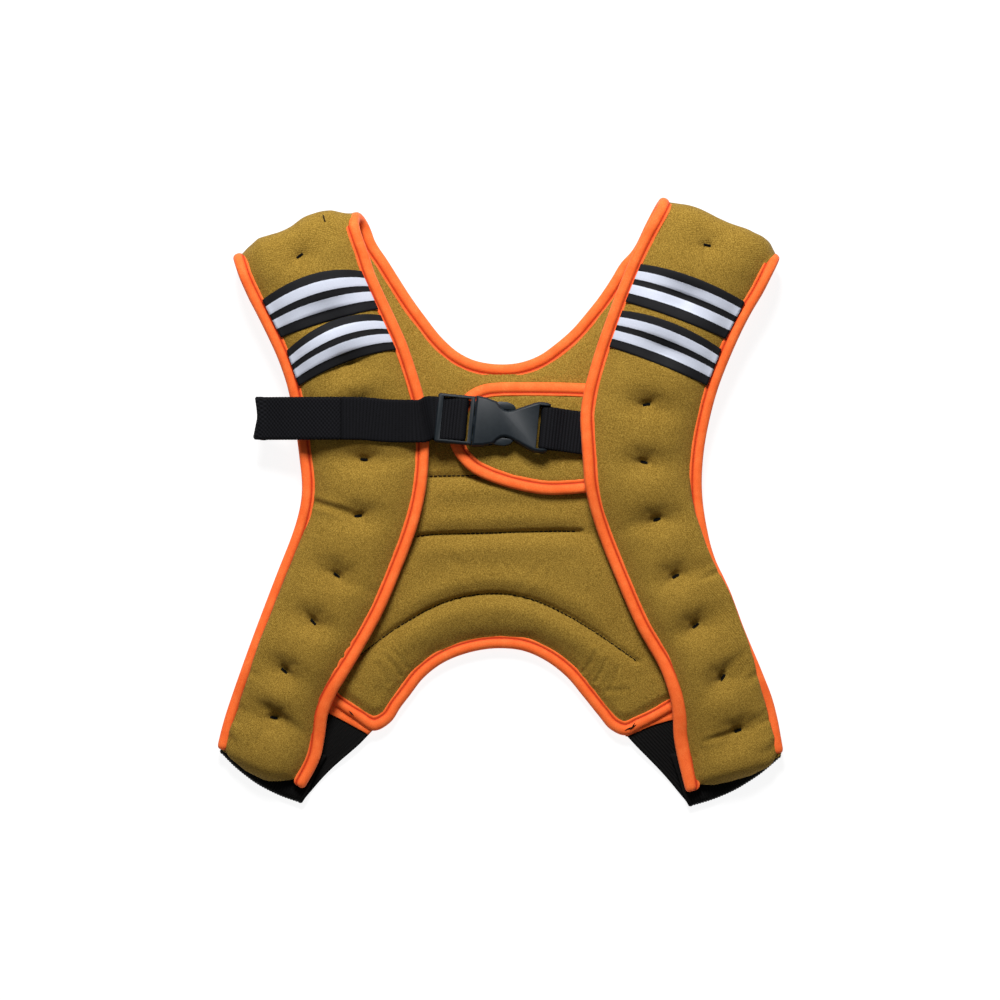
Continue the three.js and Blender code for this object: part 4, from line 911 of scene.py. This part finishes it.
def binding(node, depth=1.0, spacing=0.0016, gathers=(), wide=1.15, swells=()):
    rings = ringsOf(node, 9)
    section = rings[len(rings) // 2]
    nose = min(range(9), key=lambda i: sum(abs(
        np.linalg.norm(section[(i + k) % 9] - section[i]) - np.linalg.norm(section[(i - k) % 9] - section[i])) for k in range(1, 5)))
    tip = rings[:, nose]
    lips = (rings[:, (nose + 2) % 9] + rings[:, (nose - 2) % 9]) / 2
    inward = unit(lips - tip)
    upward = unit(rings[:, (nose + 1) % 9] - rings[:, (nose - 1) % 9])
    if upward[0, 2] < 0:
        upward = -upward
    reach = np.linalg.norm(lips - tip, axis=1)
    edge = tip + inward * (reach * 1.5 / 8)[:, None]
    at = lengthsOf(edge)
    close = np.array([0.0003, 0.0008, 0.0015])
    wanted = np.unique(np.concatenate([evenly(at[-1], spacing), close, at[-1] - close]))
    stretch = through(reach / 0.008, at, wanted) * wide
    edge, inward, upward = [through(v, at, wanted) for v in (edge, inward, upward)]
    inward, upward = unit(inward), unit(upward)
    half = np.array([(a, b, g) for a, b, g in rollTop])
    profile = np.concatenate([half, (half * [1, -1, 1])[::-1][1:], [(6.3, -2.15, 0), (-0.2, -2.15, 0), (-0.2, 2.15, 0), (6.3, 2.15, 0)]])
    count = len(profile)
    a, b = profile[:, 0] * mm, profile[:, 1] * mm * depth
    lip = np.clip((profile[:, 0] - 5.0) / 1.2, 0, 1)
    roll = np.clip(1 - np.abs(profile[:, 0] - 1.6) / 2.6, 0, 1)
    wobble = softNoise(edge, 90, 7) * 0.0003 + softNoise(edge, 300, 8) * 0.00012
    fullness = 1 + softNoise(edge, 70, 11) * 0.06
    pucker = np.cos(wanted * (2 * math.pi / 0.0028)) * 0.00007
    for x, y, extra, span in swells:
        stretch = stretch * (1 + extra * np.exp(-(np.linalg.norm(edge[:, :2] - place(x, y), axis=1) / span) ** 2))
    for x, y, size, span in gathers:
        near = np.exp(-(np.linalg.norm(edge[:, :2] - place(x, y), axis=1) / span) ** 2)
        wobble = wobble + near * size * np.cos(wanted * (2 * math.pi / 0.0085))
    # the cut ends are rounded off
    ends = np.clip(np.minimum(wanted, at[-1] - wanted) / 0.0034, 0, 1)
    ends = 0.35 + 0.65 * np.sqrt(1 - (1 - ends) ** 2)
    # the nose stays where it is and the lip reaches further in
    depthIn = a.min() + (a[None] - a.min()) * stretch[:, None]
    grid = (edge[:, None] + inward[:, None] * ((depthIn - 0.002) * ends[:, None] + 0.002 + lip[None] * wobble[:, None])[..., None]
            + upward[:, None] * (b[None] * ends[:, None] * (1 + (fullness[:, None] - 1) * roll[None]) + np.sign(b)[None] * roll[None] * pucker[:, None])[..., None])
    piece = meshPiece(node + "_tape", grid.reshape(-1, 3), tubeFaces(len(grid), count) + [
        tuple(range(count)), tuple((len(grid) - 1) * count + k for k in reversed(range(count)))], bindingCloth)
    around = lengthsOf(profile[:, :2]) * mm
    weave = np.stack([np.broadcast_to(around, grid.shape[:2]), np.broadcast_to(wanted[:, None], grid.shape[:2])], axis=-1)
    putUv(piece, "weave", weave.reshape(-1, 2))
    # the groove mask carries the painted shade of the recess
    putAttribute(piece, "groove", np.broadcast_to(profile[:, 2], grid.shape[:2]).ravel())
    faceOut(piece)
    finishPiece(piece, "orange_binding", node)
    # stitches lie in the groove, above and below
    runs = []
    for start in np.arange(0.0045, at[-1] - 0.006, 0.0028):
        spots = start + np.array([0, 0.0005, 0.0010, 0.0015])
        e, i, u = [through(v, wanted, spots) for v in (edge, inward, upward)]
        groove = a.min() + (0.00465 - a.min()) * np.interp(spots, wanted, stretch)
        sink = np.array([-0.0004, 0.0001, 0.0001, -0.0004])
        for side in (1, -1):
            runs.append(e + i * groove[:, None] + u * (side * (0.00262 * depth + sink))[:, None])
    stitches = threads(node + "_stitches", runs, orangeThread, 0.00022, 5)
    finishPiece(stitches, "orange_binding")
    return piece


binding("neck_binding", gathers=[(347, 657, 0.0014, 0.014), (693, 690, 0.0006, 0.014)], swells=[
    (690, 705, 0.30, 0.035), (680, 760, 0.25, 0.03), (326, 715, 0.22, 0.035), (590, 440, 0.08, 0.03)])
binding("arm_binding_left")
binding("arm_binding_right")
waistTape = binding("waist_binding")
binding("pad_binding", depth=0.82, wide=1.36)
print("bindings made")


# Side bands: ribbed elastic, the ribs run along it

band = {"ribPitch": 0.0019, "ribHeight": 0.00022, "rowSpacing": 0.0022, "selvedge": 0.0016}


# free edge of each side band, as it is drawn by the part and as the photograph has it: upper end, lower
# end, and the outer end of its orange tape
bandFits = {
    "left": ([(356, 735.5), (301, 802), (327, 716)], [(367.5, 734.5), (302.5, 802.5), (327.5, 715)]),
    "right": ([(639, 743), (690, 806.5), (672.8, 723)], [(627, 736.5), (691, 807.5), (672.5, 716)]),
}


def fitBand(points, side):
    # affine fit of three places, so that tape and band move together
    before, after = bandFits[side]
    before = np.array([np.append(place(x, y), 1) for x, y in before])
    after = np.array([place(x, y) for x, y in after])
    matrix = np.linalg.solve(before, after)
    plan = points[..., :2].reshape(-1, 2)
    moved = np.hstack([plan, np.ones((len(plan), 1))]) @ matrix
    corner = before[1, :2]
    reach = smoothStep((np.linalg.norm(plan - corner, axis=1) - 0.004) / 0.05)
    top = (plan[:, 1] - corner[1]) / (before[0, 1] - corner[1])
    gap = distanceTo(before[:2, :2], plan)
    weight = smoothStep(top / 0.9) * reach * (1 - smoothStep((gap - 0.012) / 0.032))
    points = points.copy()
    points[..., :2] = (plan + (moved - plan) * weight[:, None]).reshape(points.shape[:-1] + (2,))
    return points


def makeBand(node):
    rings = ringsOf(node, 10)
    section = rings[3]
    start = next(i for i in range(10) if np.linalg.norm(section[i] - section[i - 1]) < 0.004
                 and np.linalg.norm(section[(i + 5) % 10] - section[(i + 4) % 10]) < 0.004)
    rows = np.roll(rings, -start, axis=1)
    top, low = rows[:, :5], rows[:, 5:][:, ::-1]
    centre, offset = (top + low) / 2, (top - low) / 2
    at = lengthsOf(centre[:, 2])
    wanted = evenly(at[-1], band["rowSpacing"])
    centre, offset = through(centre, at, wanted), through(offset, at, wanted)
    width = np.linalg.norm(np.diff(centre, axis=1), axis=2).sum(axis=1).mean()
    count = int(width / band["ribPitch"] * 4) + 1
    share = np.linspace(0, 1, count)
    steps = np.linspace(0, 1, 5)
    centre = through(centre.transpose(1, 0, 2), steps, share).transpose(1, 0, 2)
    offset = through(offset.transpose(1, 0, 2), steps, share).transpose(1, 0, 2)
    edge = np.minimum(share, 1 - share) * width
    rib = np.cos(share * width * (2 * math.pi / band["ribPitch"])) * band["ribHeight"]
    rib = np.where(edge < band["selvedge"], 0.0003 - 0.0005 * (edge < 0.0005), rib)
    push = 1 + rib[None] / 0.001
    upper, lower = centre + offset * push[..., None], centre - offset * push[..., None]
    rings = fitBand(np.concatenate([upper, lower[:, ::-1]], axis=1), node.split("_")[-1])
    around = np.concatenate([share, share[::-1]]) * width
    piece = sweepPiece(node + "_elastic", rings, elasticCloth, wanted, around)
    finishPiece(piece, "black_elastic", node)
    return piece


def bandTape(node):
    rings = ringsOf(node, 9)
    at = lengthsOf(rings.mean(axis=1))
    wanted = evenly(at[-1], 0.002)
    rows = through(rings, at, wanted)
    fine = []
    for k in range(9):
        a, b = rows[:, k], rows[:, (k + 1) % 9]
        for share in (0, 0.33, 0.67):
            fine.append(a * (1 - share) + b * share)
    grid = fitBand(np.stack(fine, axis=1), node.split("_")[-1])
    count = grid.shape[1]
    piece = meshPiece(node + "_tape", grid.reshape(-1, 3), tubeFaces(len(grid), count) + [
        tuple(range(count)), tuple((len(grid) - 1) * count + k for k in reversed(range(count)))], bindingCloth)
    around = lengthsOf(grid[0])
    weave = np.stack([np.broadcast_to(around, grid.shape[:2]), np.broadcast_to(wanted[:, None], grid.shape[:2])], axis=-1)
    putUv(piece, "weave", weave.reshape(-1, 2))
    putAttribute(piece, "groove", np.zeros(len(grid) * count))
    faceOut(piece)
    useModifier(piece, "SMOOTH", factor=0.5, iterations=2)
    finishPiece(piece, "orange_binding", node)


bandTape("band_tape_left")
bandTape("band_tape_right")

bandLeft = makeBand("side_band_left")
bandRight = makeBand("side_band_right")
print("bands made")

# Chest webbing

web = {"ribPitch": 0.0023, "ribHeight": 0.00016, "rowSpacing": 0.00046, "across": 25}


def makeWebbing(node, hemEnd, hemAbove):
    rings = ringsOf(node, 4)
    section = rings[len(rings) // 2]
    if np.linalg.norm(section[0] - section[1]) < np.linalg.norm(section[1] - section[2]):
        rings = np.roll(rings, -1, axis=1)
    # corners 0-1 and 3-2 are the two long sides
    centre = rings.mean(axis=1)
    across = ((rings[:, 1] - rings[:, 0]) + (rings[:, 2] - rings[:, 3])) / 2
    offset = ((rings[:, 0] - rings[:, 3]) + (rings[:, 1] - rings[:, 2])) / 4
    at = lengthsOf(centre)
    wanted = evenly(at[-1], web["rowSpacing"])
    centre, across = through(centre, at, wanted), through(across, at, wanted)
    offset = np.stack([np.interp(wanted, at, offset[:, k]) for k in range(3)], axis=1)
    share = np.linspace(-0.5, 0.5, web["across"])
    width = 0.030
    edge = (0.5 - np.abs(share)) * width
    rounding = np.sqrt(np.clip(1 - (1 - np.minimum(edge / 0.0009, 1)) ** 2, 0, 1))
    phase = wanted * (2 * math.pi / web["ribPitch"])
    rib = np.abs(np.sin(phase / 2)) * web["ribHeight"] * 2 - web["ribHeight"]
    hem = smoothStep(0.5 + (place(hemEnd, 0)[0] - centre[:, 0]) / 0.0016) * (centre[:, 2] > hemAbove)
    rib = rib * (1 - hem) + hem * 0.0003
    yarn = np.cos(share * width * (2 * math.pi / 0.0025)) * 0.00004
    thick = np.linalg.norm(offset, axis=1)
    way = unit(offset)
    height = (thick[:, None] + rib[:, None] + yarn[None] * np.sign(np.sin(phase))[:, None]) * (0.25 + 0.75 * rounding[None])
    scallop = 1 + (np.abs(np.sin(phase / 2)) - 0.6)[:, None] * (np.abs(share)[None] > 0.47) * 0.012
    spread = across[:, None] * (share[None] * scallop)[..., None]
    upper = centre[:, None] + spread + way[:, None] * height[..., None]
    lower = centre[:, None] + spread - way[:, None] * height[..., None]
    rings = np.concatenate([upper, lower[:, ::-1]], axis=1)
    around = np.concatenate([share, share[::-1]]) * width
    piece = sweepPiece(node + "_webbing", rings, webCloth, wanted, around)
    putAttribute(piece, "hem", np.broadcast_to(hem[:, None], rings.shape[:2]).ravel())
    finishPiece(piece, "black_webbing", node)
    return piece, centre


strapLeft, strapLine = makeWebbing("chest_strap_left", 341.5, 0.02)
strapRight, _ = makeWebbing("chest_strap_right", 0, 0)
print("webbing made")

# Reflective tapes, laid on the panels

film = {"thickness": 0.0005, "rest": 0.00035, "rowSpacing": 0.0016, "columns": [0, 0.03, 0.09, 0.175, 0.19, 0.25, 0.33, 0.39, 0.405, 0.47, 0.537,
                                                         0.552, 0.62, 0.70, 0.765, 0.78, 0.86, 0.95, 1]}
stripeEdges = [(0.182, 0.397), (0.544, 0.772)]


def cornersOf(node):
    # the four corners of a flat strip seen from above, each long side from outer to inner end
    shape = bmesh.new()
    shape.from_mesh(nodes[node].data)
    plan = np.array([tuple(corner.co)[:2] for corner in shape.verts])
    shape.free()
    centre = (plan.min(axis=0) + plan.max(axis=0)) / 2
    _, _, axes = np.linalg.svd(plan - plan.mean(axis=0), full_matrices=False)
    along = axes[0] * np.sign(axes[0][0] * centre[0])
    over = axes[1] * np.sign(axes[1][1])
    a, b = (plan - centre) @ along, (plan - centre) @ over
    a, b = a / np.abs(a).max(), b / np.abs(b).max()
    corners = []
    for up in (1, -1):
        for out in (1, -1):
            first = plan[np.argmax(a * out + b * up)]
            near = np.linalg.norm(plan - first, axis=1) < 0.0012
            corners.append(plan[near].mean(axis=0))
    return corners


def makeFilm(node, panelPiece, topBow, lowBow):
    outerTop, innerTop, outerLow, innerLow = cornersOf(node)
    length = (np.linalg.norm(outerTop - innerTop) + np.linalg.norm(outerLow - innerLow)) / 2
    wanted = evenly(length, film["rowSpacing"])
    share = np.array(film["columns"])
    # the ends go a little under the lips of the bindings
    run = (wanted / length * 1.036 - 0.018)[:, None, None]
    bow = np.array([0, 1]) * 4 * run * (1 - run)
    upper = outerTop * (1 - run) + innerTop * run + bow * topBow
    lower = outerLow * (1 - run) + innerLow * run + bow * lowBow
    flat = upper * (1 - share[None, :, None]) + lower * share[None, :, None]
    flat = np.concatenate([flat, np.zeros(flat.shape[:2] + (1,))], axis=2)
    tree = surfaceOf(panelPiece)
    heights = flat[..., 2].copy()
    for r in range(flat.shape[0]):
        for k in range(flat.shape[1]):
            hit, _, _, _ = tree.ray_cast(Vector((flat[r, k, 0], flat[r, k, 1], 0.2)), Vector((0, 0, -1)))
            if hit:
                heights[r, k] = hit.z
    floorHeights = heights.copy()
    for _ in range(14):  # the tape bridges the smallest hollows
        padded = np.pad(heights, 1, mode="edge")
        blurred = (padded[:-2, 1:-1] + padded[2:, 1:-1] + padded[1:-1, :-2] + padded[1:-1, 2:]) / 4
        heights = np.maximum(blurred, floorHeights)
    flat[..., 2] = heights
    slopeAlong = np.gradient(flat, axis=0)
    slopeAcross = np.gradient(flat, axis=1)
    normal = unit(np.cross(slopeAlong, slopeAcross))
    normal *= np.sign(normal[..., 2:3])
    ends = np.minimum(share, 1 - share)
    lift = np.where(ends < 0.02, 0.6, 1.0)
    pale = np.zeros(len(share))
    for low, high in stripeEdges:
        pale += (share > low) & (share < high)
    upper = flat + normal * (film["rest"] + film["thickness"] * lift + 0.00012 * pale)[None, :, None]
    lower = flat + normal * (film["rest"] * 0.3)
    rings = np.concatenate([upper, lower[:, ::-1]], axis=1)
    width = 0.0307
    around = np.concatenate([share, share[::-1]]) * width
    piece = sweepPiece(node + "_film", rings, stripeFilm, wanted, around)
    stripe = np.stack([np.broadcast_to(around / width, rings.shape[:2]), np.broadcast_to(wanted[:, None], rings.shape[:2])], axis=-1)
    putUv(piece, "stripe", stripe.reshape(-1, 2))
    finishPiece(piece, "reflective_tape", node)


makeFilm("reflective_tape_left_upper", panelLeft, 0.0070, 0.0015)
makeFilm("reflective_tape_left_lower", panelLeft, 0.0079, 0.0040)
makeFilm("reflective_tape_right_upper", panelRight, 0.0036, 0.0011)
makeFilm("reflective_tape_right_lower", panelRight, 0.0045, 0.0011)
print("reflective tapes made")

# Threads: tacks on the panels and stitches in the seams of the back


def dropOn(tree, spot, lift):
    hit, _, _, _ = tree.ray_cast(Vector((spot[0], spot[1], 0.2)), Vector((0, 0, -1)))
    return np.array([spot[0], spot[1], (hit.z if hit else 0.01) + lift])


def makeTacks(name, panelPiece, tacks, shown, loose=()):
    tree = surfaceOf(panelPiece)
    runs = []
    for index in shown:
        x, y, turn = tacks[index]
        centre, angle = place(x, y), math.radians(turn)
        way = np.array([math.cos(angle), math.sin(angle)])
        for offset in (-0.0004, 0.0004):
            side = np.array([-way[1], way[0]]) * offset
            run = []
            for share, lift in ((-1, -0.0006), (-0.7, 0.0003), (-0.25, 0.0006), (0.25, 0.0006), (0.7, 0.0003), (1, -0.0006)):
                run.append(dropOn(tree, centre + side + way * share * 0.0031, lift))
            runs.append(run)
    for ends in loose:
        run = [place(x, y) for x, y in ends]
        runs.append([dropOn(tree, run[0] * (1 - t) + run[1] * t, lift) for t, lift in (
            (0, -0.0003), (0.2, 0.0003), (0.5, 0.0004), (0.8, 0.0003), (1, -0.0003))])
    piece = threads(name, runs, blackThread, 0.00048, 6)
    finishPiece(piece, "black_webbing")


makeTacks("tack_threads_left", panelLeft, tacksLeft, [0, 4, 5, 6, 7, 8, 9], [((323.2, 215), (325.8, 223.4))])
makeTacks("tack_threads_right", panelRight, tacksRight, [0, 3, 4, 5, 6, 7, 8, 9])


def makeKnots():
    # loose thread ends at the corners of the waist binding
    tree = surfaceOf(waistTape)
    ends = [
        [(624.5, 731.5, -0.2), (629, 729, 0.4), (633, 727.5, 0.6), (637, 725, -0.2)],
        [(631, 730.5, 0.2), (633.5, 726, 0.8), (635, 723.5, 0)],
        [(348.5, 711, -0.2), (351, 713.5, 0.4), (354, 716.5, -0.2)],
    ]
    runs = [[dropOn(tree, place(x, y), lift * mm) for x, y, lift in run] for run in ends]
    finishPiece(threads("waist_knots", runs, blackThread, 0.00040, 6), "black_webbing")


makeKnots()


def makeSeamStitches():
    tree = surfaceOf(backCloth)
    runs = []
    for line in backLines:
        at = lengthsOf(line)
        for start in np.arange(0.001, at[-1] - 0.004, 0.0032):
            spots = through(line, at, start + np.array([0, 0.0006, 0.0023, 0.0029]))
            heights = (-0.0002, 0.0002, 0.0002, -0.0002)
            runs.append([dropOn(tree, spot, lift) for spot, lift in zip(spots, heights)])
    piece = threads("back_seam_stitches", runs, blackThread, 0.00042, 5)
    finishPiece(piece, "olive_cloth")


makeSeamStitches()
print("threads made")

# Buckle


def makeBuckle(node, bevel):
    shape = bmesh.new()
    shape.from_mesh(nodes[node].data)
    bmesh.ops.remove_doubles(shape, verts=shape.verts, dist=2e-6)
    bmesh.ops.dissolve_limit(shape, angle_limit=math.radians(1.5), verts=shape.verts, edges=shape.edges)
    data = bpy.data.meshes.new(node + "_moulding")
    shape.to_mesh(data)
    shape.free()
    piece = bpy.data.objects.new(node + "_moulding", data)
    bpy.context.scene.collection.objects.link(piece)
    data.materials.append(mouldedPlastic)
    useModifier(piece, "BEVEL", width=bevel, segments=2, limit_method="ANGLE", angle_limit=math.radians(28), harden_normals=False)
    bpy.ops.object.select_all(action="DESELECT")
    piece.select_set(True)
    bpy.context.view_layer.objects.active = piece
    bpy.ops.object.shade_smooth_by_angle(angle=math.radians(32))
    finishPiece(piece, "black_plastic", node)
    return piece


makeBuckle("buckle_female", 0.0005)
makeBuckle("buckle_male", 0.0003)
print("buckle made")

for node in nodes.values():
    node.select_set(False)
